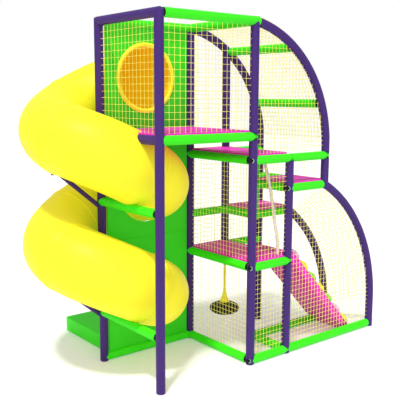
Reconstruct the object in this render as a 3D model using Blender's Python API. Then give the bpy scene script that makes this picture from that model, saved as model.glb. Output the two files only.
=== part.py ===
"""Indoor play maze: a sleeved pipe frame on three bays, stepped padded decks, a two-turn tube slide,
a climbing ramp, a disc swing and netting. Lengths are metres, +Z is up, the ground is z = 0."""

import math

import bmesh
import bpy
from mathutils import Matrix, Vector

# Gaps and round sections
GAP = 0.0003              # working gap between touching pieces
SLEEVE_R = 0.047          # foam sleeve on the 48 mm pipe
SIDES = 12                # sides of a sleeve
CLAMP_R = 0.031           # pipe clamp between a crosswise beam and its post
CLAMP_LEN = 0.014
CLAMP_SIDES = 8
BAND_T = 0.004            # clamp band round a post, which ties the beams of one level together
BAND_H = 0.024
SEAT = SLEEVE_R + 0.0025  # where a tied beam ends, inside the wall of its band
CLEAR = SLEEVE_R + BAND_T + 0.002      # where an arch ends, outside the band
CLEAR_CORNER = SLEEVE_R + 0.010       # and at a corner post, outside its clamps too
CORNER_R = SLEEVE_R + 0.001           # short corner posts, a little fuller than their beams
TEE_R = SLEEVE_R - 0.0005             # beams that run into another beam

# Plan grid: X runs along the maze, Y from the front row to the back row
BAY = 1.200               # tower bay
DEPTH = 1.075             # front row to back row
HALF_DEPTH = 0.552        # half-depth line: small decks, ramp corridor
X_STEP = 1.752            # end of the landing deck
X_END = 2.336             # end of the stepped decks
X_FOOT = 3.275            # foot of the front lower arch
X_FOOT_REAR = 3.045       # foot of the rear lower arch

# Heights of the beam centre lines
Z_GROUND = SLEEVE_R
Z_LANDING = 1.088
Z_EXIT = 0.678            # centre of the slide's exit
PITCH = 1.212             # drop of the slide in one turn
Z_MOUTH = Z_EXIT + 2 * PITCH
Z_REST_LOW = Z_EXIT + 0.25 * PITCH - 0.417    # beams that carry the slide
Z_REST_HIGH = Z_REST_LOW + PITCH + 0.016
Z_TOWER = Z_MOUTH - 0.607
Z_TOP = Z_TOWER + 1.173
POST_TOP = Z_TOP + 0.038
SPREAD = (Z_TOWER - Z_LANDING) / 1.407        # 1 as drawn; the levels between these two spread with them
Z_MID = Z_LANDING + 0.440 * SPREAD
Z_STEP_LOW = Z_LANDING + 0.819 * SPREAD
Z_STEP_HIGH = Z_LANDING + 1.155 * SPREAD
Z_SPRING_UPPER = Z_LANDING + 1.252 * SPREAD   # where the upper arches turn upright
Z_SPRING_FRONT = 0.360    # where the front lower arch turns upright
Z_SPRING_REAR = 0.200
ARCH_STEPS = 10
SLIDE_STUB = 0.500        # the tower's left beam runs only this far, into the side of the slide
X_CROSS = (X_END - 0.556, X_END - 0.092)      # beams between the two upper arches

# Decks
PAD_T = 0.015             # padding above the beams
CORE_T = 0.045            # board and foam between the beams
PAD_NOTCH = SLEEVE_R + 0.002
CORE_IN = SLEEVE_R + 0.004

# Slide
TUBE_R = 0.366
TUBE_WALL = 0.010
TUBE_SIDES = 18
SLIDE_X = 0.060           # plan centre of the turns
SLIDE_R = 0.523           # centre line radius
SWAY = 0.036              # flatter where it crosses the back panel, steeper between
SEAM = 0.0006             # gap between two slide sections
JOINTS = (2.2, 100, 190, 280, 460, 550, 640, 720)     # degrees along the turns where two sections meet
SECTION_STEP = 18         # degrees between rings
EXIT_LEN = 0.110          # straight lip after the last turn
CUT_GAP = 0.004           # room left round the slide in the deck and panels
SKIN_GAP = 0.0006         # and in the beams and struts that carry it
MOUTH_IN = 0.333
MOUTH_OUT = 0.380
MOUTH_T = 0.014
STRUT_R = 0.024
STRUT_DEG = 183
STRUT_DROP = (Z_EXIT + PITCH - 0.174, Z_EXIT - 0.174)     # where the struts meet the back left post

# Panels
PANEL_T = 0.012
PANEL_SEAM = Z_EXIT + PITCH / 2 + 0.056
PANEL_EDGE = 0.0008

# Ramp and holds
RAMP_TOP_LEN = 0.150      # level top of the ramp, from the landing edge
RAMP_BACK = 0.126         # its thickness, measured along the floor
RAMP_SLOPE = 1.05         # fall per metre along X
RAMP_Y0 = SLEEVE_R + 0.003
RAMP_Y1 = 0.606
FACING_T = 0.004          # facing sheet that carries the holds
HOLD_R = 0.090
HOLD_H = 0.076
HOLD_SIDES = 10
HOLD_ROWS = 7
HOLD_FIRST = 0.075        # first hold, measured along X from the top edge of the climbing face
HOLD_PITCH = 0.152        # along X
HOLD_COLUMNS = (0.150, 0.500)
HOLD_ORDER = ("lilac", "yellow", "green", "yellow", "green", "lilac", "yellow")

# Disc swing
SWING_X = 1.464
SWING_Y = 0.740
SWING_PIVOT_Z = 0.985
DISC_MID = 0.407          # height of the padded disc's widest line
DISC_R = 0.178
DISC_T = 0.150            # through its middle
DISC_RINGS = (19, 40, 63, 90, 117, 140, 161)  # degrees from its axis
DISC_Z = DISC_MID + DISC_T / 2 * math.cos(math.radians(DISC_RINGS[0]))    # flat under the cone
CONE_R = 0.052
CONE_H = 0.160
ROPE_R = 0.0145
NECK_R = 0.010            # rope below its eye, between the cheeks of the link
NECK_LEN = 0.026
PIN_R = 0.006
LINK_DROP = 0.050         # from the upper to the lower pin of the link

# Grab pole
POLE_R = 0.019
POLE_X = 1.680            # its line runs through these points: across, and up from the landing's beams
POLE_LINE = ((0.085, 0.212), (0.125, 0.362), (0.160, 0.532), (0.200, 0.712), (0.255, 0.912), (0.300, 1.032))

# Mat under the slide exit
MAT_X0, MAT_X1 = 0.132, 1.030
MAT_Y1 = 2.220
MAT_T = 0.180
MAT_EDGE = 0.012

# Nets
STRAND_W = 0.014
STRAND_T = 0.008
NET_GAP = 0.0008          # between a net's edge cord and the sleeve
NET_IN = SLEEVE_R + NET_GAP
NET_BAND = SLEEVE_R + GAP + BAND_T + NET_GAP  # beside a post with clamp bands
NET_PAD = SLEEVE_R + GAP + PAD_T + NET_GAP   # above a beam that carries a pad
ROOF_LIFT = 0.0009        # between a roof net and the sleeves under it
ROOF_TAIL = Z_SPRING_UPPER - Z_STEP_LOW - 0.088   # its upright part

X_AXIS, Y_AXIS, Z_AXIS = Vector((1, 0, 0)), Vector((0, 1, 0)), Vector((0, 0, 1))

COLOURS = {
    "purple_vinyl": ((0.095, 0.045, 0.290), 0.45, 0.0),
    "green_vinyl": ((0.070, 0.900, 0.045), 0.45, 0.0),
    "magenta_vinyl": ((0.760, 0.060, 0.520), 0.50, 0.0),
    "green_board": ((0.050, 0.560, 0.030), 0.40, 0.0),
    "yellow_plastic": ((0.980, 0.860, 0.050), 0.30, 0.0),
    "yellow_cord": ((0.930, 0.800, 0.100), 0.75, 0.0),
    "lilac_plastic": ((0.800, 0.480, 0.850), 0.35, 0.0),
    "lime_plastic": ((0.280, 0.850, 0.100), 0.35, 0.0),
    "black_vinyl": ((0.020, 0.012, 0.030), 0.60, 0.0),
    "zinc_steel": ((0.620, 0.640, 0.640), 0.40, 0.9),
    "pale_plastic": ((0.900, 0.860, 0.900), 0.25, 0.0),
}


def clear_scene():
    for obj in list(bpy.data.objects):
        bpy.data.objects.remove(obj, do_unlink=True)


def material(name):
    mat = bpy.data.materials.get(name)
    if mat is None:
        colour, rough, metal = COLOURS[name]
        mat = bpy.data.materials.new(name)
        mat.use_nodes = True
        bsdf = mat.node_tree.nodes["Principled BSDF"]
        bsdf.inputs["Base Color"].default_value = (*colour, 1.0)
        bsdf.inputs["Roughness"].default_value = rough
        bsdf.inputs["Metallic"].default_value = metal
    return mat


def make(name, solids, mat, pivot=None):
    """One object from a list of closed solids, each a pair of vertices and faces."""
    bm = bmesh.new()
    for verts, faces in solids:
        made = [bm.verts.new(v) for v in verts]
        for face in faces:
            bm.faces.new([made[i] for i in face])
    bmesh.ops.recalc_face_normals(bm, faces=bm.faces)
    if pivot is not None:
        bmesh.ops.translate(bm, verts=bm.verts, vec=-Vector(pivot))
    mesh = bpy.data.meshes.new(name)
    bm.to_mesh(mesh)
    bm.free()
    obj = bpy.data.objects.new(name, mesh)
    obj.data.materials.append(material(mat))
    bpy.context.scene.collection.objects.link(obj)
    if pivot is not None:
        obj.location = pivot
    return obj


def boolean(obj, cutter, operation="DIFFERENCE"):
    """Apply an exact boolean and drop the cutter."""
    cutter.hide_render = True
    cutter.display_type = "WIRE"
    mod = obj.modifiers.new("cut", "BOOLEAN")
    mod.operation = operation
    mod.solver = "EXACT"
    mod.object = cutter
    bpy.context.view_layer.update()
    graph = bpy.context.evaluated_depsgraph_get()
    mesh = bpy.data.meshes.new_from_object(obj.evaluated_get(graph))
    obj.modifiers.clear()
    obj.data = mesh
    bpy.data.objects.remove(cutter, do_unlink=True)
    bm = bmesh.new()
    bm.from_mesh(mesh)
    bmesh.ops.remove_doubles(bm, verts=bm.verts, dist=0.00005)
    bmesh.ops.dissolve_degenerate(bm, edges=bm.edges, dist=0.00005)
    bmesh.ops.recalc_face_normals(bm, faces=bm.faces)
    bm.to_mesh(mesh)
    bm.free()


def fuse(name, solids, mat, pivot=None):
    """One body from a list of closed solids that overlap."""
    obj = make(name, solids[:1], mat)
    for solid in solids[1:]:
        boolean(obj, make("addition", [solid], mat), "UNION")
    if pivot is not None:
        obj.data.transform(Matrix.Translation(-Vector(pivot)))
        obj.location = pivot
    return obj


def ring(centre, u, w, radius, sides):
    return [centre + radius * (math.cos(a) * u + math.sin(a) * w)
            for a in (2 * math.pi * k / sides for k in range(sides))]


def cap(base, sides, start, flip):
    """End face in strips between vertices that share one sideways offset."""
    faces = []
    half = sides // 2
    for j in range(half):
        a, b = base + (start + j) % sides, base + (start + j + 1) % sides
        c, d = base + (start - j - 1) % sides, base + (start - j) % sides
        face = [a, b, c, d]
        face = [v for i, v in enumerate(face) if v not in face[:i]]
        faces.append(face[::-1] if flip else face)
    return faces


def skin(rings, starts=(0, 0)):
    """Closed solid through a list of equal rings."""
    sides = len(rings[0])
    verts = [v for r in rings for v in r]
    faces = cap(0, sides, starts[0], True)
    for i in range(len(rings) - 1):
        for k in range(sides):
            n = (k + 1) % sides
            faces.append([i * sides + k, i * sides + n, (i + 1) * sides + n, (i + 1) * sides + k])
    faces += cap((len(rings) - 1) * sides, sides, starts[1], False)
    return verts, faces


def cope(points, direction, axis_point, axis, radius):
    """Slide the points along a direction until they lie on a round post or beam."""
    out = []
    flat = direction - axis * direction.dot(axis)
    for p in points:
        rel = p - axis_point
        rel -= axis * rel.dot(axis)
        a, b, c = flat.dot(flat), 2 * rel.dot(flat), rel.dot(rel) - radius * radius
        s = (-b + math.sqrt(max(b * b - 4 * a * c, 0.0))) / (2 * a)
        out.append(p + direction * s)
    return out


def cap_start(axis, direction, u):
    side = axis.cross(direction)
    return 0 if side.length < 1e-6 or abs(side.normalized().dot(u)) > 0.7 else SIDES // 4


def beam(a, b, fit_a=0.0, fit_b=0.0, radius=SLEEVE_R, sides=SIDES, seats=(SLEEVE_R + GAP, SLEEVE_R + GAP)):
    """Round bar from a to b. A fit is a set-back, or the axis of the round piece the end is shaped to;
    a seat is the radius of that shaping."""
    a, b = Vector(a), Vector(b)
    d = (b - a).normalized()
    u = Y_AXIS if abs(d.z) > 0.9 else d.cross(Z_AXIS).normalized()
    w = u.cross(d).normalized()
    rings, starts = [], []
    for point, way, fit, seat in ((a, d, fit_a, seats[0]), (b, -d, fit_b, seats[1])):
        if isinstance(fit, Vector):
            rings.append(cope(ring(point, u, w, radius, sides), way, point, fit.normalized(), seat))
            starts.append(cap_start(fit, d, u))
        else:
            rings.append(ring(point + way * fit, u, w, radius, sides))
            starts.append(0)
    return skin(rings, starts)


def box(low, high):
    x0, y0, z0 = low
    x1, y1, z1 = high
    verts = [(x, y, z) for z in (z0, z1) for y in (y0, y1) for x in (x0, x1)]
    faces = [(0, 2, 3, 1), (4, 5, 7, 6), (0, 1, 5, 4), (2, 6, 7, 3), (0, 4, 6, 2), (1, 3, 7, 5)]
    return verts, faces


def slab(centre, along, across, up, half_a, half_b, half_c):
    """Box in its own directions."""
    verts = [centre + along * i * half_a + across * j * half_b + up * k * half_c
             for k in (-1, 1) for j in (-1, 1) for i in (-1, 1)]
    return verts, box((0, 0, 0), (1, 1, 1))[1]


def prism(outline, y0, y1):
    """Solid from an outline of (x, z) points between two Y planes."""
    n = len(outline)
    verts = [(x, y, z) for y in (y0, y1) for x, z in outline]
    faces = [list(range(n)), list(range(2 * n - 1, n - 1, -1))]
    faces += [[i, n + i, n + (i + 1) % n, (i + 1) % n] for i in range(n)]
    return verts, faces


# Frame

# How a beam ends: at a post, in a clamp band, clamped to a corner post, inside a corner
FREE, TIED, CORNER, INTO = "free", "tied", "corner", "into"


def cross_beam(x, z, y0=0.0, y1=DEPTH, ends=(FREE, FREE), radius=SLEEVE_R):
    """Beam along Y with square ends, and the short clamps between it and its posts."""
    flat = SLEEVE_R + GAP + CLAMP_LEN
    sets = [0.0 if end == INTO else flat for end in ends]
    solids = [beam((x, y0, z), (x, y1, z), *sets, radius=radius)]
    for end, y, way in ((ends[0], y0, 1), (ends[1], y1, -1)):
        if end != INTO:
            seat = {FREE: SLEEVE_R + GAP, TIED: SEAT, CORNER: CORNER_R - 0.010}[end]
            solids.append(beam((x, y + way * seat, z), (x, y + way * (flat + 0.004), z),
                               radius=CLAMP_R, sides=CLAMP_SIDES))
    return solids


def long_beam(y, z, x0, x1, ends=(FREE, FREE), radius=SLEEVE_R):
    """Beam along X, its ends shaped to the round posts."""
    fits = [0.0 if end == INTO else Z_AXIS for end in ends]
    seats = [SEAT if end == TIED else SLEEVE_R + GAP for end in ends]
    return [beam((x0, y, z), (x1, y, z), *fits, radius=radius, seats=seats)]


def band(x, y, z, first, last):
    """Clamp band over part of a post's round, between two of its sides counted from +X towards +Y."""
    verts = []
    for k in range(first, last + 1):
        a = 2 * math.pi * k / SIDES
        out = Vector((math.cos(a), math.sin(a), 0))
        for r, h in ((SLEEVE_R + GAP, -1), (SLEEVE_R + GAP + BAND_T, -1), (SLEEVE_R + GAP + BAND_T, 1),
                     (SLEEVE_R + GAP, 1)):
            verts.append(Vector((x, y, z + h * BAND_H / 2)) + out * r)
    faces = [[0, 1, 2, 3], [len(verts) - i for i in (1, 2, 3, 4)]]
    for i in range(last - first):
        faces += [[4 * i + k, 4 * i + 4 + k, 4 * i + 4 + (k + 1) % 4, 4 * i + (k + 1) % 4] for k in range(4)]
    return [(verts, faces)]


def corner_band(x, y, z, sides):
    """Band from the beams named in sides ("+x", "-x") round to the crosswise beam."""
    quarter = SIDES // 4
    first, last = (-1 if "+x" in sides else quarter - 1), (2 * quarter + 1 if "-x" in sides else quarter + 1)
    if y > HALF_DEPTH:
        first, last = 4 * quarter - last, 4 * quarter - first
    return band(x, y, z, first, last)


def post(x, y, z0, z1):
    return beam((x, y, z0), (x, y, z1))


def arch_radius(x0, z0, x1, z1):
    run, rise = x1 - x0, z0 - z1
    return (run * run + rise * rise) / (2 * run)


def arch_point(x0, z0, x1, z1, t):
    """Point and direction on an arch that starts at (x0, z0) and turns upright at (x1, z1)."""
    r = arch_radius(x0, z0, x1, z1)
    start = math.atan2(z0 - z1, x0 - (x1 - r))
    a = start * (1 - t)
    point = Vector((x1 - r + r * math.cos(a), 0, z1 + r * math.sin(a)))
    return point, Vector((math.sin(a), 0, -math.cos(a)))


def arch_at(shape, x):
    """Point and direction of the straight piece of an arch that crosses x."""
    points = [arch_point(*shape, i / ARCH_STEPS)[0] for i in range(ARCH_STEPS + 1)]
    p, q = next((p, q) for p, q in zip(points, points[1:]) if p.x <= x <= q.x)
    return p.lerp(q, (x - p.x) / (q.x - p.x)), (q - p).normalized()


def arch(x0, z0, x1, z1, y, foot, seat=CLEAR):
    rings = []
    for i in range(ARCH_STEPS + 1):
        p, d = arch_point(x0, z0, x1, z1, i / ARCH_STEPS)
        if i == 0:
            d = (arch_point(x0, z0, x1, z1, 1 / ARCH_STEPS)[0] - p).normalized()
        p = p + Vector((0, y, 0))
        r = ring(p, Y_AXIS, Y_AXIS.cross(d).normalized(), SLEEVE_R, SIDES)
        rings.append(cope(r, d, p, Z_AXIS, seat) if i == 0 else r)
    if foot is not None:
        rings.append([Vector((v.x, v.y, foot)) for v in rings[-1]])
    return skin(rings)


UPPER = (BAY, Z_TOP, X_END, Z_SPRING_UPPER)
LOWER_FRONT = (X_END, Z_STEP_LOW, X_FOOT, Z_SPRING_FRONT)
LOWER_REAR = (X_END, Z_MID, X_FOOT_REAR, Z_SPRING_REAR)


def build_posts():
    crossing, slope = arch_at(UPPER, X_STEP)
    for name, x, y, top in (("post_front_left", 0, 0, POST_TOP), ("post_back_left", 0, DEPTH, POST_TOP),
                            ("post_back_middle", BAY, DEPTH, POST_TOP), ("post_front_middle", BAY, 0, POST_TOP),
                            ("post_front_step", X_STEP, 0, Z_STEP_HIGH + 0.052)):
        make(name, [post(x, y, 0.0, top)], "purple_vinyl")
    verts, faces = post(X_STEP, DEPTH, Z_LANDING - 0.055, crossing.z)
    head = Vector((X_STEP, DEPTH, crossing.z))
    shaped = cope(ring(head, Y_AXIS, Y_AXIS.cross(Z_AXIS), SLEEVE_R, SIDES), -Z_AXIS, head, slope,
                  SLEEVE_R + 0.002)
    make("post_back_step", [(list(verts[:SIDES]) + shaped, faces)], "purple_vinyl")
    make("arch_upper_front", [arch(*UPPER, 0.0, Z_STEP_LOW - SLEEVE_R)], "purple_vinyl")
    make("arch_upper_back", [arch(*UPPER, DEPTH, 0.0)], "purple_vinyl")
    make("arch_lower_front", [arch(*LOWER_FRONT, 0.0, 0.0)], "purple_vinyl")
    make("arch_lower_rear", [arch(*LOWER_REAR, HALF_DEPTH, 0.0, CLEAR_CORNER)], "purple_vinyl")


def corner_post(x, z0, z1):
    return [beam((x, HALF_DEPTH, z0), (x, HALF_DEPTH, z1), radius=CORNER_R)]


def build_frames():
    """The beams of one level are tied into one frame by the clamp bands round its posts."""
    for name, z in (("frame_top", Z_TOP), ("frame_tower_deck", Z_TOWER)):
        solids = cross_beam(BAY, z, ends=(TIED, TIED))
        for y in (0, DEPTH):
            solids += corner_band(BAY, y, z, "-x") + long_beam(y, z, 0, BAY, (FREE, TIED))
        fuse(name, solids, "green_vinyl")
    solids = cross_beam(BAY, Z_STEP_HIGH, ends=(TIED, TIED)) + cross_beam(X_STEP, Z_STEP_HIGH, ends=(TIED, TIED))
    for y in (0, DEPTH):
        solids += corner_band(BAY, y, Z_STEP_HIGH, "+x") + corner_band(X_STEP, y, Z_STEP_HIGH, "+x -x")
        solids += long_beam(y, Z_STEP_HIGH, BAY, X_STEP, (TIED, TIED))
        solids += long_beam(y, Z_STEP_HIGH, X_STEP, X_END, (TIED, FREE))
    fuse("frame_step_high", solids, "green_vinyl")

    solids = corner_post(X_STEP, Z_MID - 0.055, Z_STEP_HIGH - SLEEVE_R - 2 * GAP)
    solids += corner_post(X_END, Z_MID - 0.055, Z_STEP_LOW - 0.020)
    solids += long_beam(HALF_DEPTH, Z_MID, X_STEP, X_END, (INTO, INTO), TEE_R)
    solids += cross_beam(X_END, Z_STEP_LOW, ends=(TIED, FREE))
    solids += long_beam(HALF_DEPTH, Z_STEP_LOW, X_STEP, X_END, (INTO, INTO), TEE_R)
    solids += cross_beam(X_STEP, Z_STEP_LOW, 0, HALF_DEPTH, (TIED, INTO), TEE_R)
    solids += corner_band(X_STEP, 0, Z_STEP_LOW, "+x") + corner_band(X_END, 0, Z_STEP_LOW, "-x")
    solids += long_beam(0, Z_STEP_LOW, X_STEP, X_END, (TIED, TIED))
    for x, sides in ((X_STEP, "+x -x"), (X_END, "-x")):
        solids += cross_beam(x, Z_MID, HALF_DEPTH, DEPTH, (CORNER, TIED)) + corner_band(x, DEPTH, Z_MID, sides)
    solids += long_beam(DEPTH, Z_MID, X_STEP, X_END, (TIED, TIED)) + long_beam(DEPTH, Z_MID, BAY, X_STEP, (FREE, TIED))
    fuse("frame_steps", solids, "green_vinyl")

    solids = []
    for x, front, back in ((BAY, "+x", "+x"), (X_STEP, "-x", "+x -x")):
        solids += cross_beam(x, Z_LANDING, ends=(TIED, TIED))
        solids += corner_band(x, 0, Z_LANDING, front) + corner_band(x, DEPTH, Z_LANDING, back)
    for y in (0, DEPTH):
        solids += long_beam(y, Z_LANDING, BAY, X_STEP, (TIED, TIED))
    solids += long_beam(DEPTH, Z_LANDING, X_STEP, X_END, (TIED, FREE))
    fuse("frame_landing", solids, "green_vinyl")

    solids = long_beam(DEPTH, Z_GROUND, 0, BAY, (FREE, TIED)) + corner_band(BAY, DEPTH, Z_GROUND, "-x")
    solids += cross_beam(BAY, Z_GROUND, ends=(TIED, TIED)) + corner_band(BAY, 0, Z_GROUND, "+x")
    solids += long_beam(0, Z_GROUND, BAY, X_STEP, (TIED, TIED)) + corner_band(X_STEP, 0, Z_GROUND, "+x -x")
    solids += long_beam(0, Z_GROUND, X_STEP, X_FOOT, (TIED, FREE))
    solids += cross_beam(X_STEP, Z_GROUND, 0, HALF_DEPTH, (TIED, INTO))
    solids += corner_post(X_STEP, 0.002, Z_GROUND + 0.055)
    solids += long_beam(HALF_DEPTH, Z_GROUND, X_STEP, X_FOOT_REAR, (INTO, FREE))
    fuse("frame_ground", solids, "green_vinyl")


def build_loose_beams():
    for name, x in zip(("beam_arch_high", "beam_arch_low"), X_CROSS):
        fuse(name, cross_beam(x, arch_at(UPPER, x)[0].z), "green_vinyl")
    fuse("beam_top_left", cross_beam(0, Z_TOP), "purple_vinyl")
    stub = fuse("beam_tower_left", cross_beam(0, Z_TOWER, 0, SLIDE_STUB, (FREE, INTO)), "purple_vinyl")
    boolean(stub, slide_cutter())
    for name, z in (("beam_slide_high", Z_REST_HIGH), ("beam_slide_low", Z_REST_LOW)):
        boolean(fuse(name, cross_beam(0, z), "green_vinyl"), slide_cutter())


# Decks

def deck(name, x0, x1, y0, y1, z, edges=(1, 1, 1, 1)):
    """Padded deck: a core between the beams and a pad lying on them, notched round the posts."""
    low = z + SLEEVE_R + GAP
    top = low + PAD_T
    under = low - CORE_T
    side = CORE_IN
    n = PAD_NOTCH
    outline = [(x0 + n, y0), (x1 - n, y0), (x1 - n, y0 + n), (x1, y0 + n), (x1, y1 - n), (x1 - n, y1 - n),
               (x1 - n, y1), (x0 + n, y1), (x0 + n, y1 - n), (x0, y1 - n), (x0, y0 + n), (x0 + n, y0 + n)]
    inner = [(x0 + side, y0 + side), (x1 - side, y0 + side), (x1 - side, y1 - side), (x0 + side, y1 - side)]
    verts = [(x, y, top) for x, y in outline] + [(x, y, low) for x, y in outline]
    verts += [(x, y, low) for x, y in inner] + [(x, y, under) for x, y in inner]
    faces = [list(range(12))]
    faces += [[i, (i + 1) % 12, 12 + (i + 1) % 12, 12 + i] for i in range(12)]
    faces += [[24 + i, 24 + (i + 1) % 4, 28 + (i + 1) % 4, 28 + i] for i in range(4)]
    faces.append([28, 31, 30, 29])
    faces += [[12, 13, 14, 25, 24, 23], [15, 16, 17, 26, 25, 14], [18, 19, 20, 27, 26, 17],
              [21, 22, 23, 24, 27, 20]]
    return make(name, [(verts, faces)], "magenta_vinyl")


def build_decks():
    tower = deck("deck_tower", 0, BAY, 0, DEPTH, Z_TOWER)
    boolean(tower, slide_cutter())
    deck("deck_step_high", BAY, X_STEP, 0, DEPTH, Z_STEP_HIGH)
    deck("deck_step_low", X_STEP, X_END, 0, HALF_DEPTH, Z_STEP_LOW)
    deck("deck_mid", X_STEP, X_END, HALF_DEPTH, DEPTH, Z_MID)
    deck("deck_landing", BAY, X_STEP, 0, DEPTH, Z_LANDING)


# Slide

def slide_point(deg):
    a = math.radians(deg)
    z = Z_MOUTH - PITCH * deg / 360 + SWAY * math.sin(2 * a)
    return Vector((SLIDE_X + SLIDE_R * math.cos(a), DEPTH + SLIDE_R * math.sin(a), z))


def slide_ring(deg, radius):
    p = slide_point(deg)
    t = (slide_point(deg + 0.05) - slide_point(deg - 0.05)).normalized()
    u = t.cross(Z_AXIS).normalized()
    return p, t, ring(p, u, u.cross(t), radius, TUBE_SIDES)


def slide_stations(start, end):
    count = max(2, round((end - start) / SECTION_STEP))
    return [start + (end - start) * i / count for i in range(count + 1)]


def tube_shell(outer, inner):
    """Closed hollow tube from matching outer and inner rings."""
    sides, n = len(outer[0]), len(outer)
    verts = [v for r in outer for v in r] + [v for r in inner for v in r]
    off = n * sides
    faces = []
    for i in range(n - 1):
        for k in range(sides):
            m = (k + 1) % sides
            faces.append([i * sides + k, i * sides + m, (i + 1) * sides + m, (i + 1) * sides + k])
            faces.append([off + i * sides + k, off + (i + 1) * sides + k, off + (i + 1) * sides + m,
                          off + i * sides + m])
    for k in range(sides):
        m = (k + 1) % sides
        last = (n - 1) * sides
        faces.append([k, off + k, off + m, m])
        faces.append([last + k, last + m, off + last + m, off + last + k])
    return verts, faces


def slide_cutter(gap=CUT_GAP):
    """Solid tube a little larger than the slide, for cutting the pieces it passes."""
    rings = []
    for i in range(len(JOINTS) - 1):
        for deg in slide_stations(JOINTS[i], JOINTS[i + 1])[:-1]:
            rings.append(slide_ring(deg, TUBE_R + gap)[2])
    p, t, last = slide_ring(JOINTS[-1], TUBE_R + gap)
    rings.append(last)
    rings.append([v + Y_AXIS * (EXIT_LEN + 0.05) for v in last])
    rings[0] = [v - Y_AXIS * 0.06 for v in rings[0]]
    return make("slide_cutter", [skin(rings)], "green_board")


def build_slide():
    for i in range(len(JOINTS) - 1):
        outer, inner = [], []
        for deg in slide_stations(JOINTS[i], JOINTS[i + 1]):
            p, t, ring_out = slide_ring(deg, TUBE_R)
            ring_in = slide_ring(deg, TUBE_R - TUBE_WALL)[2]
            outer.append(ring_out)
            inner.append(ring_in)
        if i:
            step = slide_ring(JOINTS[i], TUBE_R)[1] * SEAM
            outer[0] = [v + step for v in outer[0]]
            inner[0] = [v + step for v in inner[0]]
        else:
            wall = DEPTH + PANEL_T / 2 + 2 * GAP
            outer[0] = [Vector((v.x, wall, v.z)) for v in outer[0]]
            inner[0] = [Vector((v.x, wall, v.z)) for v in inner[0]]
        if i == len(JOINTS) - 2:
            outer.append([v + Y_AXIS * EXIT_LEN for v in outer[-1]])
            inner.append([v + Y_AXIS * EXIT_LEN for v in inner[-1]])
        make(f"slide_section_{i + 1}", [tube_shell(outer, inner)], "yellow_plastic")
    mouth = slide_point(0)
    y0 = DEPTH - PANEL_T / 2 - GAP
    rings = []
    for radius in (MOUTH_OUT, MOUTH_IN):
        rings.append([ring(Vector((mouth.x, y, mouth.z)), X_AXIS, Z_AXIS, radius, 24) for y in (y0 - MOUTH_T, y0)])
    make("slide_mouth_ring", [tube_shell(rings[0], rings[1])], "yellow_plastic")
    for turn, (name, z) in enumerate(zip(("slide_strut_high", "slide_strut_low"), STRUT_DROP)):
        deg = STRUT_DEG + 360 * turn
        centre, along, _ = slide_ring(deg, TUBE_R)
        up = along.cross(Z_AXIS).cross(along).normalized()
        seat = centre - up * (TUBE_R + 0.012)
        across = along.cross(up)
        strut = fuse(name, [beam((0, DEPTH, z), seat - Z_AXIS * 0.012, Z_AXIS, 0.0, STRUT_R, 12,
                                 (SLEEVE_R + 0.0009, 0.0)),
                            slab(seat, along, across, up, 0.070, 0.055, 0.012)], "purple_vinyl")
        boolean(strut, slide_cutter(SKIN_GAP))


def build_panels():
    x0, x1 = SLEEVE_R + PANEL_EDGE, BAY - NET_BAND
    y0, y1 = DEPTH - PANEL_T / 2, DEPTH + PANEL_T / 2
    edge = SLEEVE_R + PANEL_EDGE
    spans = (("panel_upper", Z_TOWER + NET_PAD, Z_TOP - edge), ("panel_middle", PANEL_SEAM + GAP, Z_TOWER - edge),
             ("panel_lower", Z_GROUND + edge, PANEL_SEAM - GAP))
    for name, z0, z1 in spans:
        panel = make(name, [box((x0, y0, z0), (x1, y1, z1))], "green_board")
        if name == "panel_upper":
            centre = slide_point(0)
            hole = [ring(Vector((centre.x, y, centre.z)), X_AXIS, Z_AXIS, MOUTH_IN + 0.006, 24)
                    for y in (y0 - 0.02, y1 + 0.02)]
            boolean(panel, make("hole", [skin(hole)], "green_board"))
        else:
            boolean(panel, slide_cutter())


# Ramp

def ramp_profile():
    edge = X_STEP + GAP
    top = Z_LANDING + SLEEVE_R + GAP + PAD_T
    low = Z_LANDING + SLEEVE_R + GAP
    side = X_STEP + SLEEVE_R + GAP
    crest = X_STEP + RAMP_TOP_LEN
    toe = crest + top / RAMP_SLOPE
    heel = toe - RAMP_BACK
    under = (heel - side) * RAMP_SLOPE
    return [(edge, top), (edge, low), (side, low), (side, under), (heel, 0.0), (toe, 0.0), (crest, top)], crest, top


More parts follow.
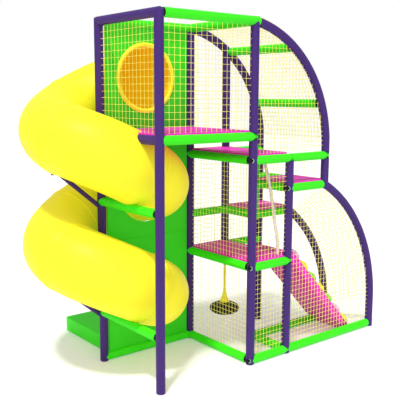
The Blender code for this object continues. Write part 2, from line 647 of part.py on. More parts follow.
def build_ramp():
    profile, crest, top = ramp_profile()
    ramp = make("ramp", [prism(profile, RAMP_Y0, RAMP_Y1)], "magenta_vinyl")
    notch_y = HALF_DEPTH - SLEEVE_R - 0.003
    boolean(ramp, make("notch", [box((X_STEP + 0.4, notch_y, -0.05),
                                     (X_FOOT, RAMP_Y1 + 0.05, 2 * SLEEVE_R + 0.003))], "green_board"))
    normal = Vector((RAMP_SLOPE, 0, 1)).normalized()
    along = Vector((1, 0, -RAMP_SLOPE)).normalized()
    length = top * math.hypot(1, RAMP_SLOPE) / RAMP_SLOPE
    crown = Vector((crest, (RAMP_Y0 + RAMP_Y1) / 2, top)) + normal * (GAP + FACING_T / 2)
    facing = make("ramp_holds", [slab(crown + along * length / 2, along, Y_AXIS, normal, length / 2 - 0.020,
                                      (RAMP_Y1 - RAMP_Y0) / 2 - 0.006, FACING_T / 2)], "lilac_plastic")
    boolean(facing, make("notch", [box((X_STEP + 0.4, notch_y, -0.05),
                                       (X_FOOT, RAMP_Y1 + 0.05, 2 * SLEEVE_R + 0.003))], "green_board"))
    holds = []
    for column, y in enumerate(HOLD_COLUMNS):
        for row in range(HOLD_ROWS - column):
            dx = HOLD_FIRST + HOLD_PITCH * (row + 0.5 * column)
            base = Vector((crest + dx, y, top - dx * RAMP_SLOPE)) + normal * (GAP + FACING_T / 2)
            holds.append(skin([ring(base + normal * HOLD_H * height, Y_AXIS, along, HOLD_R * size, HOLD_SIDES)
                               for height, size in ((0.0, 1.0), (0.45, 0.96), (0.85, 0.70), (1.0, 0.30))]))
    boolean(facing, make("holds", holds, "lilac_plastic"), "UNION")


# Swing

def build_swing():
    """A link that tips sideways in the bracket, and a rope whose eye tips lengthways in the link."""
    x, y, z = SWING_X, SWING_Y, SWING_PIVOT_Z
    under = Z_LANDING + SLEEVE_R + GAP - CORE_T - GAP
    cheek, bore, pin = 0.006, PIN_R + GAP, PIN_R
    bracket = [box((x - 0.045, y - 0.032, under - 0.008), (x + 0.045, y + 0.032, under))]
    for s in (-1, 1):
        near, far = sorted((x + s * 0.012, x + s * (0.012 + cheek)))
        bracket.append(box((near, y - 0.016, z - 0.016), (far, y + 0.016, under - 0.004)))
    bracket = fuse("swing_bracket", bracket, "zinc_steel")
    boolean(bracket, make("bore", [beam((x - 0.03, y, z), (x + 0.03, y, z), radius=bore, sides=16)], "zinc_steel"))

    low = z - LINK_DROP
    link = [beam((x - 0.0185, y, z), (x + 0.0185, y, z), radius=pin, sides=16),
            beam((x - 0.0115, y, z), (x + 0.0115, y, z), radius=0.011, sides=16),
            box((x - 0.0112, y - 0.017, low + 0.022), (x + 0.0112, y + 0.017, z - 0.007))]
    for s in (-1, 1):
        near, far = sorted((y + s * 0.0115, y + s * 0.017))
        link.append(box((x - 0.0105, near, low - 0.010), (x + 0.0105, far, low + 0.024)))
    link.append(beam((x, y - 0.016, low), (x, y + 0.016, low), radius=pin, sides=16))
    fuse("swing_link", link, "zinc_steel", pivot=(x, y, z))

    eye = [[ring(Vector((x, y + s * 0.0105, low)), X_AXIS, Z_AXIS, r, 16) for s in (-1, 1)]
           for r in (0.0165, PIN_R + GAP)]
    neck = low - NECK_LEN
    rope = skin([ring(Vector((x, y, h)), X_AXIS, Y_AXIS, r, 12)
                 for h, r in ((low - 0.0105, NECK_R), (neck, NECK_R), (neck - 0.008, ROPE_R),
                              (DISC_Z + CONE_H + GAP, ROPE_R))])
    fuse("swing_rope", [tube_shell(*eye), rope], "yellow_cord", pivot=(x, y, low))
    hub = (x, y, DISC_Z + CONE_H)
    cone = [(DISC_Z + CONE_H, ROPE_R + 0.001), (DISC_Z + CONE_H * 0.66, CONE_R * 0.46),
            (DISC_Z + CONE_H * 0.33, CONE_R * 0.72), (DISC_Z + 0.012, CONE_R), (DISC_Z + GAP, CONE_R)]
    make("swing_cone", [skin([ring(Vector((x, y, h)), X_AXIS, Y_AXIS, r, 16) for h, r in cone])],
         "yellow_plastic", pivot=hub)
    disc = [(DISC_MID + DISC_T / 2 * math.cos(a), DISC_R * math.sin(a)) for a in map(math.radians, DISC_RINGS)]
    make("swing_disc", [skin([ring(Vector((x, y, h)), X_AXIS, Y_AXIS, r, 24) for h, r in disc])],
         "black_vinyl", pivot=hub)


# Small pieces

def build_small():
    y0 = DEPTH + SLEEVE_R + 2 * GAP
    e = MAT_EDGE
    layers = [(0.0, e), (e, 0.0), (MAT_T - e, 0.0), (MAT_T, e)]
    rings = [[Vector(v) for v in ((MAT_X0 + i, y0 + i, z), (MAT_X1 - i, y0 + i, z),
                                  (MAT_X1 - i, MAT_Y1 - i, z), (MAT_X0 + i, MAT_Y1 - i, z))] for z, i in layers]
    verts = [v for r in rings for v in r]
    faces = [[3, 2, 1, 0], [12, 13, 14, 15]]
    for i in range(3):
        faces += [[4 * i + k, 4 * i + (k + 1) % 4, 4 * i + 4 + (k + 1) % 4, 4 * i + 4 + k] for k in range(4)]
    make("exit_mat", [(verts, faces)], "green_vinyl")
    foot = Z_LANDING + SLEEVE_R + GAP + PAD_T + GAP
    head = Z_STEP_HIGH + SLEEVE_R + GAP - CORE_T - GAP
    line = [Vector((POLE_X, POLE_LINE[0][0], foot))]
    line += [Vector((POLE_X, y, Z_LANDING + up * SPREAD)) for y, up in POLE_LINE]
    line.append(Vector((POLE_X, POLE_LINE[-1][0] + 0.012, head)))
    rings = []
    for i, p in enumerate(line):
        t = (line[min(i + 1, len(line) - 1)] - line[max(i - 1, 0)]).normalized()
        if i in (0, len(line) - 1):
            t = Z_AXIS
        rings.append(ring(p, X_AXIS, X_AXIS.cross(t).normalized(), POLE_R, 12))
    make("grab_pole", [skin(rings)], "pale_plastic")


# Nets

def lattice(us, vs, place, half_u=STRAND_W / 2, half_v=STRAND_W / 2):
    """Net of flat strands centred on the lines us and vs, laid on a surface by place(u, v, side)."""
    ul = [c + s * half_u for c in us for s in (-1, 1)]
    vl = [c + s * half_v for c in vs for s in (-1, 1)]
    nu, nv = len(ul), len(vl)
    verts = [place(u, v, s * STRAND_T / 2) for s in (-1, 1) for v in vl for u in ul]

    def at(i, j, s):
        return s * nu * nv + j * nu + i

    def filled(i, j):
        return 0 <= i < nu - 1 and 0 <= j < nv - 1 and not (i % 2 and j % 2)
    faces = []
    for j in range(nv - 1):
        for i in range(nu - 1):
            if not filled(i, j):
                continue
            faces.append([at(i, j, 0), at(i, j + 1, 0), at(i + 1, j + 1, 0), at(i + 1, j, 0)])
            faces.append([at(i, j, 1), at(i + 1, j, 1), at(i + 1, j + 1, 1), at(i, j + 1, 1)])
            walls = (((i, j), (i + 1, j), (i, j - 1)), ((i, j + 1), (i + 1, j + 1), (i, j + 1)),
                     ((i, j), (i, j + 1), (i - 1, j)), ((i + 1, j), (i + 1, j + 1), (i + 1, j)))
            for a, b, other in walls:
                if not filled(*other):
                    faces.append([at(*a, 0), at(*b, 0), at(*b, 1), at(*a, 1)])
    return verts, faces


def lines(low, high, count):
    """Centres of count + 1 strands whose outer edges lie on low and high."""
    low, high = low + STRAND_W / 2, high - STRAND_W / 2
    return [low + (high - low) * i / count for i in range(count + 1)]


def net_x(name, x, y0, y1, z0, z1, nu, nv, low=NET_IN):
    """Net in a plane across the maze."""
    return make(name, [lattice(lines(y0 + NET_BAND, y1 - NET_BAND, nu), lines(z0 + low, z1 - NET_IN, nv),
                        lambda u, v, s: Vector((x + s, u, v)))], "yellow_cord")


def net_y(name, y, x0, x1, z0, z1, nu, nv, low=NET_IN):
    """Net in a plane along the maze."""
    make(name, [lattice(lines(x0 + NET_BAND, x1 - NET_BAND, nu), lines(z0 + low, z1 - NET_IN, nv),
                        lambda u, v, s: Vector((u, y + s, v)))], "yellow_cord")


def edge_band(outline, y):
    """Flat closed cord along the inside of an (x, z) outline."""
    n = len(outline)
    inner = []
    for i in range(n):
        a, b, c = (Vector((*outline[(i + k) % n], 0)) for k in (-1, 0, 1))
        e1, e2 = (b - a).normalized(), (c - b).normalized()
        n1, n2 = Vector((e1.y, -e1.x, 0)), Vector((e2.y, -e2.x, 0))
        m = (n1 + n2).normalized()
        inner.append(b + m * (STRAND_W / max(m.dot(n1), 0.4)))
    t = STRAND_T / 2 + 0.0008
    verts = []
    for s in (-t, t):
        verts += [(x, y + s, z) for x, z in outline]
        verts += [(q.x, y + s, q.y) for q in inner]
    faces = []
    for i in range(n):
        k = (i + 1) % n
        faces += [[i, k, n + k, n + i], [2 * n + i, 3 * n + i, 3 * n + k, 2 * n + k],
                  [i, 2 * n + i, 2 * n + k, k], [n + i, n + k, 3 * n + k, 3 * n + i]]
    return verts, faces


def arch_net(name, shape, y, x0, z_low, nu, nv, low=NET_IN):
    """Net that fills the face under an arch, cut to its curve and edged with a cord."""
    head_x, head_z = shape[0], shape[1]
    left, base, roof = x0 + NET_BAND, z_low + low, head_z - NET_IN
    under = []
    for i in range(ARCH_STEPS + 1):
        p, d = arch_point(*shape, i / ARCH_STEPS)
        under.append(p - Vector((-d.z, 0, d.x)) * NET_IN)
    first = left if x0 >= head_x - 0.01 else head_x
    curve = [(q.x, q.z) for q in under if q.x > first + 0.03 and q.z > base + 0.02]
    fall = (under[0].z - curve[0][1]) / (curve[0][0] - under[0].x)
    outline = [(left, base), (left, min(curve[0][1] + (curve[0][0] - first) * fall, roof))]
    if first > left:
        outline = [(left, base), (left, roof), (curve[0][0] - (roof - curve[0][1]) / fall, roof)]
    outline += curve + [(under[-1].x, base)]
    xs, zs = [q[0] for q in outline], [q[1] for q in outline]
    net = make(name, [lattice(lines(min(xs), max(xs), nu), lines(min(zs), max(zs), nv),
                              lambda u, v, s: Vector((u, y + s, v)))], "yellow_cord")
    boolean(net, make("region", [prism(outline, y - 0.05, y + 0.05)], "yellow_cord"), "INTERSECT")
    boolean(net, make("edge", [edge_band(outline, y)], "yellow_cord"), "UNION")


def roof_net(name, front, back, us, rows, lift):
    """Net from one arch to the other, lifted off their centre lines.
    Rows past 1 hang straight down from the end of the arches, by the rest in metres."""
    def over(shape, v):
        i = min(int(v * ARCH_STEPS), ARCH_STEPS - 1)
        p, q = arch_point(*shape, i / ARCH_STEPS)[0], arch_point(*shape, (i + 1) / ARCH_STEPS)[0]
        point = p.lerp(q, min(v, 1.0) * ARCH_STEPS - i) - Z_AXIS * max(v - 1.0, 0.0)
        d = arch_point(*shape, min(v, 1.0))[1]
        return point, Vector((-d.z, 0, d.x))

    def place(u, v, s):
        k = (u - us[0]) / (us[-1] - us[0])
        (pf, nf), (pb, nb) = over(front, v), over(back, v)
        p = pf.lerp(pb, k) + nf.lerp(nb, k).normalized() * (lift + s)
        return Vector((p.x, u, p.z))
    make(name, [lattice(us, rows, place, half_v=STRAND_W / 2 / (arch_radius(*front) * 1.3))], "yellow_cord")


def build_nets():
    boolean(net_x("net_tower_left", 0, 0, DEPTH, Z_TOWER, Z_TOP, 5, 5, NET_PAD), slide_cutter())
    net_y("net_tower_front", 0, 0, BAY, Z_TOWER, Z_TOP, 5, 5, NET_PAD)
    net_x("net_side_low", BAY, 0, DEPTH, Z_GROUND, Z_LANDING, 4, 4)
    net_x("net_side_high", BAY, 0, DEPTH, Z_LANDING, Z_STEP_HIGH, 4, 4, NET_PAD)
    net_y("net_front_low", 0, BAY, X_STEP, Z_GROUND, Z_LANDING, 2, 4)
    net_y("net_front_high", 0, BAY, X_STEP, Z_LANDING, Z_STEP_HIGH, 2, 4, NET_PAD)
    arch_net("net_arch_front", UPPER, 0, BAY, Z_STEP_HIGH, 5, 6, NET_PAD)
    arch_net("net_back", UPPER, DEPTH + SLEEVE_R + STRAND_T / 2 + 0.0012, BAY,
             Z_LANDING, 4, 9)
    arch_net("net_ramp_front", LOWER_FRONT, 0, X_STEP, Z_GROUND, 6, 7)
    steps = [i / ARCH_STEPS for i in range(1, ARCH_STEPS)]
    roof_net("net_arch_roof", UPPER, UPPER, [DEPTH * i / 4 for i in range(5)],
             [0.02] + steps + [0.995, ROOF_TAIL + 0.825, ROOF_TAIL + 1.0], SLEEVE_R + ROOF_LIFT + STRAND_T / 2)
    roof_net("net_ramp_roof", LOWER_FRONT, LOWER_REAR, lines(NET_IN, HALF_DEPTH - NET_IN, 2), [0.045] + steps, 0.0)


def recentre():
    """Put the origin at the bottom centre of the whole maze."""
    low, high = Vector((1e9,) * 3), Vector((-1e9,) * 3)
    for obj in bpy.data.objects:
        for v in obj.data.vertices:
            w = v.co + obj.location
            low = Vector(map(min, low, w))
            high = Vector(map(max, high, w))
    shift = Vector(((low.x + high.x) / 2, (low.y + high.y) / 2, low.z))
    for obj in bpy.data.objects:
        if obj.location.length > 0:
            obj.location = obj.location - shift
        else:
            obj.data.transform(Matrix.Translation(-shift))


def main():
    clear_scene()
    build_posts()
    build_frames()
    build_loose_beams()
    build_decks()
    build_slide()
    build_panels()
    build_ramp()
    build_swing()
    build_small()
    build_nets()
    recentre()


main()
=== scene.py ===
"""Indoor play maze: the looks of every piece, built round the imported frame."""

import math

import bmesh
import bpy
from mathutils import Matrix, Vector


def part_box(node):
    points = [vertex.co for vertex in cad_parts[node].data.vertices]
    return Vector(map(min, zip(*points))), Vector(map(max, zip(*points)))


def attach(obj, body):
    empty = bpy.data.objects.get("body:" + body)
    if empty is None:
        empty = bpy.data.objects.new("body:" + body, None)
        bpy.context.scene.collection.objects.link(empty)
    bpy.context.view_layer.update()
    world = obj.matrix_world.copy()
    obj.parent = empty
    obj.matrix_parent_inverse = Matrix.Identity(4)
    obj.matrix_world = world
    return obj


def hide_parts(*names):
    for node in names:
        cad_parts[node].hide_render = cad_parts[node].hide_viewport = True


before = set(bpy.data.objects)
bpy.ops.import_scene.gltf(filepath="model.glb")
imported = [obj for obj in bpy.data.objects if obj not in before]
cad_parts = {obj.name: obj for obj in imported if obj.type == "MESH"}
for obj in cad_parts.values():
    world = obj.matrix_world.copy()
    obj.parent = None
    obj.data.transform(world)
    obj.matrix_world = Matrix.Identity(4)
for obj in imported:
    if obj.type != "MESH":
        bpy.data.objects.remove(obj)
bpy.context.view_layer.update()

bl_info = {
    "name": "Indoor play maze",
    "version": (1, 0, 0),
    "blender": (4, 5, 0),
    "location": "View3D > Sidebar > Maze",
    "description": "Sleeved frame, padded decks, tube slide, ramp, swing and nets of an indoor play maze",
    "category": "Add Mesh",
}

# The plan grid starts at the axis of the front left post, on the floor
_low, _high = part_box("post_front_left")
ORIGIN = Vector(((_low.x + _high.x) / 2, (_low.y + _high.y) / 2, 0.0))
X_WAY, Y_WAY, Z_WAY = Vector((1, 0, 0)), Vector((0, 1, 0)), Vector((0, 0, 1))

BAY = 1.200               # middle posts, x
X_STEP = 1.752            # step posts, x
X_END = 2.336             # where the decks end, x
X_FOOT = 3.275            # foot of the lower front arch, x
X_FOOT_REAR = 3.045       # foot of the lower rear arch, x
DEPTH = 1.075             # back posts, y
HALF = 0.552              # beams and arch in the middle of the depth, y

Z_GROUND = 0.047
Z_REST_LOW = 0.564        # green beams that the slide rests in
Z_LANDING = 1.088
Z_MID = 1.528
Z_REST_HIGH = 1.792
Z_STEP_LOW = 1.907
Z_STEP_HIGH = 2.243
Z_TOWER = 2.495
Z_TOP = 3.668

SLEEVE_R = 0.047          # outside radius of a foam sleeve
HAIR = 0.0004             # room between a beam's end and the round of its post
SEAT = 0.0003             # room between a pad and the sleeves under it
PAD_THICK = 0.015
PAD_TOP = SLEEVE_R + SEAT + PAD_THICK     # top of a pad over the axis of its beams
NOTCH = 0.049             # what pads and low beams leave free beside a post's axis
TUBE_ROOM = 0.004         # room round the slide's tube in what it passes
NET_ROOM = 0.006          # the same in a net


class Arch:
    """Round arch that starts at x0, z0 and comes to stand upright at x1, z1."""

    def __init__(self, x0, z0, x1, z1):
        run, rise = x1 - x0, z0 - z1
        self.foot = x1
        self.radius = (run * run + rise * rise) / (2 * run)
        self.x, self.z = x1 - self.radius, z1
        self.start = math.atan2(rise, x0 - self.x)

    def point(self, angle):
        """Place on its centre line, by the angle over the level line through its centre."""
        return Vector((self.x + self.radius * math.cos(angle), 0.0, self.z + self.radius * math.sin(angle)))

    def height(self, x):
        """Height of its centre line over a place along the maze."""
        run = x - self.x
        return self.z + math.sqrt(self.radius * self.radius - run * run)


UPPER = Arch(BAY, Z_TOP, X_END, 2.340)
LOWER_FRONT = Arch(X_END, Z_STEP_LOW, X_FOOT, 0.360)
LOWER_REAR = Arch(X_END, Z_MID, X_FOOT_REAR, 0.200)


def at(x, y, z):
    """A place on the plan grid, in the frame's own coordinates."""
    return ORIGIN + Vector((x, y, z))


# Sizes and colours

class MazeSleeves(bpy.types.PropertyGroup):
    radius: bpy.props.FloatProperty(name="Sleeve radius", description="Outside radius of the foam sleeves",
                                    default=SLEEVE_R, unit="LENGTH")
    rim: bpy.props.FloatProperty(name="End rounding", description="Rounding at the end of a sleeve",
                                 default=0.005, unit="LENGTH")
    post_colour: bpy.props.FloatVectorProperty(name="Post colour", description="Vinyl of posts and arches",
                                               default=(0.061, 0.025, 0.178), size=3, subtype="COLOR")
    beam_colour: bpy.props.FloatVectorProperty(name="Beam colour", description="Vinyl of beams and mat",
                                               default=(0.050, 0.870, 0.015), size=3, subtype="COLOR")


class MazeSlide(bpy.types.PropertyGroup):
    tube: bpy.props.FloatProperty(name="Tube radius", description="Outside radius of the slide tube",
                                  default=0.366, unit="LENGTH")
    wall: bpy.props.FloatProperty(name="Wall", description="Wall of the moulded sections",
                                  default=0.010, unit="LENGTH")
    bell: bpy.props.FloatProperty(name="Bell", description="How far a section's bell stands out at its joint",
                                  default=0.007, unit="LENGTH")
    colour: bpy.props.FloatVectorProperty(name="Colour", description="Moulded plastic of the slide",
                                          default=(0.980, 0.860, 0.030), size=3, subtype="COLOR")


class MazeBoards(bpy.types.PropertyGroup):
    colour: bpy.props.FloatVectorProperty(name="Panel colour", description="Back panels",
                                          default=(0.052, 0.760, 0.022), size=3, subtype="COLOR")


class MazePads(bpy.types.PropertyGroup):
    crown: bpy.props.FloatProperty(name="Crown", description="How much a pad swells in its middle",
                                   default=0.003, unit="LENGTH")
    colour: bpy.props.FloatVectorProperty(name="Pad colour", description="Vinyl of decks and ramp",
                                          default=(0.930, 0.034, 0.600), size=3, subtype="COLOR")


class MazeNets(bpy.types.PropertyGroup):
    mesh: bpy.props.FloatProperty(name="Mesh", description="Side of one net square",
                                  default=0.052, unit="LENGTH")
    tower_mesh: bpy.props.FloatProperty(name="Tower mesh", description="Side of one net square at the tower",
                                        default=0.066, unit="LENGTH")
    cord: bpy.props.FloatProperty(name="Cord", description="Thickness of the net cord",
                                  default=0.0047, unit="LENGTH")
    colour: bpy.props.FloatVectorProperty(name="Net colour", description="Braided cord of the nets",
                                          default=(0.980, 0.900, 0.170), size=3, subtype="COLOR")


class MazeHolds(bpy.types.PropertyGroup):
    radius: bpy.props.FloatProperty(name="Hold radius", description="Foot radius of a hold",
                                    default=0.090, unit="LENGTH")
    height: bpy.props.FloatProperty(name="Hold height", description="Height of a hold",
                                    default=0.076, unit="LENGTH")
    lilac: bpy.props.FloatVectorProperty(name="Lilac", description="Lilac holds",
                                         default=(0.800, 0.480, 0.850), size=3, subtype="COLOR")
    lime: bpy.props.FloatVectorProperty(name="Lime", description="Lime holds",
                                        default=(0.210, 0.850, 0.050), size=3, subtype="COLOR")


class MazeStage(bpy.types.PropertyGroup):
    sun: bpy.props.FloatProperty(name="Key light", description="Strength of the key light", default=2.2)
    fill: bpy.props.FloatProperty(name="Fill light", description="Strength of the soft light from the front",
                                  default=0.8)
    sky: bpy.props.FloatProperty(name="Sky light", description="Strength of the soft light all round",
                                 default=0.55)


# Selecting and shaping

def deselect():
    bpy.ops.object.select_all(action="DESELECT")


def activate(piece):
    """Select one piece alone."""
    deselect()
    piece.select_set(True)
    bpy.context.view_layer.objects.active = piece


def remove(piece):
    """Take a cutter or a pattern away after its use."""
    bpy.data.objects.remove(piece, do_unlink=True)


def fresh(name, scale=None):
    """Name the piece that was just added, stretch it, and put its place into its mesh."""
    piece = bpy.context.object
    piece.name = piece.data.name = name
    if scale:
        piece.scale = scale
    bpy.ops.object.transform_apply(location=True, rotation=True, scale=True)
    return piece


def copied(piece, place, spin=0.0):
    """Copy of a piece with its own mesh, moved to a place and turned about the upright there."""
    copy = bpy.data.objects.new(piece.name, piece.data.copy())
    copy.location = place
    copy.rotation_euler.z = spin
    bpy.context.scene.collection.objects.link(copy)
    return copy


def edit(piece):
    """Open a piece in edit mode, all of it selected."""
    bpy.context.view_layer.objects.active = piece
    bpy.ops.object.mode_set(mode="EDIT")
    bpy.ops.mesh.select_all(action="SELECT")


def done():
    """Leave edit mode."""
    bpy.ops.object.mode_set(mode="OBJECT")


def pick(piece, kind, test):
    """In edit mode, select the vertices, edges or faces that pass a test."""
    bpy.ops.mesh.select_mode(type=kind)
    bpy.ops.mesh.select_all(action="DESELECT")
    mesh = bmesh.from_edit_mesh(piece.data)
    for part in {"VERT": mesh.verts, "EDGE": mesh.edges, "FACE": mesh.faces}[kind]:
        if test(part):
            part.select_set(True)
    mesh.select_flush_mode()
    bmesh.update_edit_mesh(piece.data)


def turn(angle, axis, centre):
    """Turn the selection. With no window the operator turns the other way, hence the sign."""
    bpy.ops.transform.rotate(value=-angle, orient_axis=axis, orient_type="GLOBAL", center_override=centre)


def bisect(place, normal, **clear):
    """In edit mode, cut everything along a plane."""
    bpy.ops.mesh.select_all(action="SELECT")
    bpy.ops.mesh.bisect(plane_co=place, plane_no=normal, **clear)


def trim(piece, place, normal):
    """Cut a piece off flat past a plane."""
    edit(piece)
    bisect(place, normal, use_fill=True, clear_outer=True)
    done()
    return piece


def apply(piece):
    """Apply every modifier, in order."""
    activate(piece)
    for modifier in list(piece.modifiers):
        bpy.ops.object.modifier_apply(modifier=modifier.name)
    return piece


def carve(piece, cutter, keep=False):
    """Cut one piece out of another."""
    modifier = piece.modifiers.new("carve", "BOOLEAN")
    modifier.operation = "DIFFERENCE"
    modifier.solver = "EXACT"
    modifier.object = cutter
    apply(piece)
    if not piece.data.polygons:
        raise RuntimeError(f"nothing is left of {piece.name}")
    if not keep:
        remove(cutter)
    return piece


def rounded(piece, width, segments):
    """Round a piece's sharp edges."""
    modifier = piece.modifiers.new("edges", "BEVEL")
    modifier.width = width
    modifier.segments = segments
    modifier.limit_method = "ANGLE"
    return apply(piece)


def join(name, pieces):
    """Join pieces into one that sits at the origin."""
    activate(pieces[0])
    for piece in pieces[1:]:
        piece.select_set(True)
    if len(pieces) > 1:
        bpy.ops.object.join()
    return fresh(name)


def outward(piece):
    """Merge what lies on one place and face everything outwards."""
    edit(piece)
    bpy.ops.mesh.remove_doubles(threshold=0.00002)
    bpy.ops.mesh.normals_make_consistent(inside=False)
    done()
    return piece


def box(name, low, high, rounding=0.0, segments=3):
    """Block between two corners of the plan grid, its edges rounded."""
    low, high = at(*low), at(*high)
    deselect()
    bpy.ops.mesh.primitive_cube_add(size=1, location=(low + high) / 2, scale=high - low)
    piece = fresh(name)
    if rounding:
        edit(piece)
        bpy.ops.mesh.bevel(offset=rounding, segments=segments, affect="EDGES")
        done()
    return piece


def ring(name, place, rotation, radius, thick, sides, scale=None):
    """Ring of round stuff about a place."""
    deselect()
    bpy.ops.mesh.primitive_torus_add(major_segments=sides[0], minor_segments=sides[1], major_radius=radius,
                                     minor_radius=thick, location=place, rotation=rotation)
    return fresh(name, scale)


def sweep(name, path, sides=32, closed=True):
    """Round bar or tube along a path. Each stop of the path is a place, the yaw and pitch of its direction,
    and a radius; the circle is extruded from stop to stop, turned and resized there."""
    place, yaw, pitch, radius = path[0]
    deselect()
    bpy.ops.mesh.primitive_circle_add(vertices=sides, radius=radius, location=place,
                                      rotation=(0, math.pi / 2 - pitch, yaw),
                                      fill_type="NGON" if closed else "NOTHING")
    piece = fresh(name)
    edit(piece)
    bpy.ops.mesh.select_mode(type="VERT")
    bpy.ops.mesh.select_all(action="SELECT")
    for stop, next_yaw, next_pitch, next_radius in path[1:]:
        bpy.ops.mesh.extrude_region_move(TRANSFORM_OT_translate={"value": stop - place})
        place = stop
        if abs(next_yaw - yaw) > 1e-6 or abs(next_pitch - pitch) > 1e-6:
            turn(-yaw, "Z", place)
            turn(pitch - next_pitch, "Y", place)
            turn(next_yaw, "Z", place)
        if abs(next_radius - radius) > 1e-7:
            bpy.ops.transform.resize(value=(next_radius / radius,) * 3, center_override=place)
        yaw, pitch, radius = next_yaw, next_pitch, next_radius
    bpy.ops.mesh.select_all(action="SELECT")
    bpy.ops.mesh.normals_make_consistent(inside=False)
    done()
    return piece


def turned(name, x, y, profile, sides=48):
    """Piece turned about an upright axis, from (height, radius) pairs that go up."""
    return sweep(name, [(at(x, y, z), 0.0, math.pi / 2, r) for z, r in profile], sides)


# Shader nodes

class Value:
    """A socket of a material. Sums and products of values add their Math nodes."""

    def __init__(self, finish, socket):
        self.finish, self.socket = finish, socket

    def math(self, operation, other):
        return self.finish.node("Math", {"operation": operation}, {0: self, 1: other})

    def __add__(self, other):
        return self.math("ADD", other)

    def __mul__(self, other):
        return self.math("MULTIPLY", other)

    __radd__ = __add__
    __rmul__ = __mul__


class Finish:
    """A material under construction, with one method that adds any node."""

    def __init__(self, name, roughness=0.5, **constants):
        self.material = bpy.data.materials.new(name)
        self.material.use_nodes = True
        self.tree = self.material.node_tree
        self.shader = self.tree.nodes["Principled BSDF"]
        self.shader.inputs["Roughness"].default_value = roughness
        for key, value in constants.items():
            self.shader.inputs[key.replace("_", " ")].default_value = value
        self.space = self.node("TexCoord", out="Object")
        self.normal = None

    def node(self, kind, settings=None, inputs=None, out=0):
        node = self.tree.nodes.new("ShaderNode" + kind)
        for key, value in (settings or {}).items():
            setattr(node, key, value)
        for key, value in (inputs or {}).items():
            if isinstance(value, Value):
                self.tree.links.new(value.socket, node.inputs[key])
            else:
                node.inputs[key].default_value = value
        return Value(self, node.outputs[out])

    def noise(self, scale, detail=2.0):
        return self.node("TexNoise", {}, {"Vector": self.space, "Scale": scale, "Detail": detail})

    def cells(self, scale, out=0):
        return self.node("TexVoronoi", {}, {"Vector": self.space, "Scale": scale}, out)

    def tint(self, factor, first, second):
        """Colour between two, by a factor."""
        sockets = {0: factor, 6: first if isinstance(first, Value) else (*first, 1.0),
                   7: second if isinstance(second, Value) else (*second, 1.0)}
        return self.node("Mix", {"data_type": "RGBA"}, sockets, out=2)

    def colour(self, value):
        self.tree.links.new(value.socket, self.shader.inputs["Base Color"])

    def roughness(self, value):
        self.tree.links.new(value.socket, self.shader.inputs["Roughness"])

    def bump(self, height, distance, strength=1.0):
        inputs = {"Height": height, "Distance": distance, "Strength": strength}
        if self.normal is not None:
            inputs["Normal"] = self.normal
        self.normal = self.node("Bump", {}, inputs)
        self.tree.links.new(self.normal.socket, self.shader.inputs["Normal"])


def shade(colour, k):
    """A colour made darker or lighter."""
    return tuple(min(c * k, 1.0) for c in colour)


def vinyl(name, colour):
    """Coated fabric over foam: fine grain, soft creases, a little sheen."""
    finish = Finish(name, 0.45, Coat_Weight=0.03, Coat_Roughness=0.35, Specular_IOR_Level=0.14)
    finish.colour(finish.tint(finish.noise(2.6, 3.0), shade(colour, 0.90), shade(colour, 1.06)))
    finish.roughness(0.38 + 0.16 * finish.noise(14.0))
    finish.bump(finish.noise(7.0, 3.0), 0.004, 0.35)
    finish.bump(finish.cells(620.0), 0.0003, 0.30)
    return finish.material


def foam(name, colour):
    """Cut foam: open, matt pores. Its near-black colour is also used as painted shade in the gaps and
    openings at the joints.
    """
    finish = Finish(name, 0.95)
    pores = finish.cells(420.0)
    finish.colour(finish.tint(pores, shade(colour, 0.5), shade(colour, 1.6)))
    finish.bump(pores, 0.001, 0.6)
    return finish.material


def moulded(name, colour, sheen, glow=0.0):
    """Moulded plastic: faint orange peel and a slow change of tone. Its glow is painted light, a constant
    emission that brightens the plastic in its shade as if light came through a thin wall."""
    # The emission is painted light: the plastic glows though it is no lamp.
    finish = Finish(name, sheen, Coat_Weight=0.03, Coat_Roughness=0.30, Specular_IOR_Level=0.14,
                    Emission_Color=(*colour, 1.0), Emission_Strength=glow)
    finish.colour(finish.tint(finish.noise(1.7), shade(colour, 0.94), shade(colour, 1.04)))
    finish.roughness(sheen - 0.04 + 0.12 * finish.noise(9.0, 3.0))
    finish.bump(finish.noise(95.0), 0.0008, 0.25)
    return finish.material


def braid(name, colour, glow):
    """Braided cord: slanting strands with painted shade in the grooves between them. Its glow is painted
    light, a constant emission that keeps the cord pale on its shaded side.
    """
    # The emission is painted light that keeps the cord pale where shade falls.
    finish = Finish(name, 0.80, Specular_IOR_Level=0.10,
                    Emission_Color=(*colour, 1.0), Emission_Strength=glow)
    strands = finish.node("TexWave", {"wave_type": "BANDS", "bands_direction": "DIAGONAL"},
                          {"Vector": finish.space, "Scale": 110.0, "Distortion": 1.5, "Detail": 1.0})
    worn = finish.tint(finish.noise(6.0), shade(colour, 0.92), shade(colour, 1.05))
    # The darker bands are painted shade in the grooves between the strands.
    finish.colour(finish.tint(strands, worn, shade(colour, 0.86)))
    finish.bump(strands, 0.0008, 0.5)
    return finish.material


def galvanised(name, colour):
    """Zinc coat: spangles of slightly different tone."""
    finish = Finish(name, 0.38, Metallic=0.9)
    finish.colour(finish.tint(0.18, colour, finish.cells(110.0, "Color")))
    finish.roughness(0.30 + 0.18 * finish.noise(45.0))
    finish.bump(finish.noise(160.0), 0.0003, 0.3)
    return finish.material


def grit(name, colour):
    """Cast hold: sandy surface with a soft change of tone."""
    finish = Finish(name, 0.50, Specular_IOR_Level=0.25)
    tone = finish.noise(11.0, 3.0)
    finish.colour(finish.tint(tone, shade(colour, 0.88), shade(colour, 1.10)))
    finish.roughness(0.45 + 0.15 * tone)
    finish.bump(finish.noise(240.0, 3.0), 0.0010, 0.5)
    return finish.material


FINISHES = {}


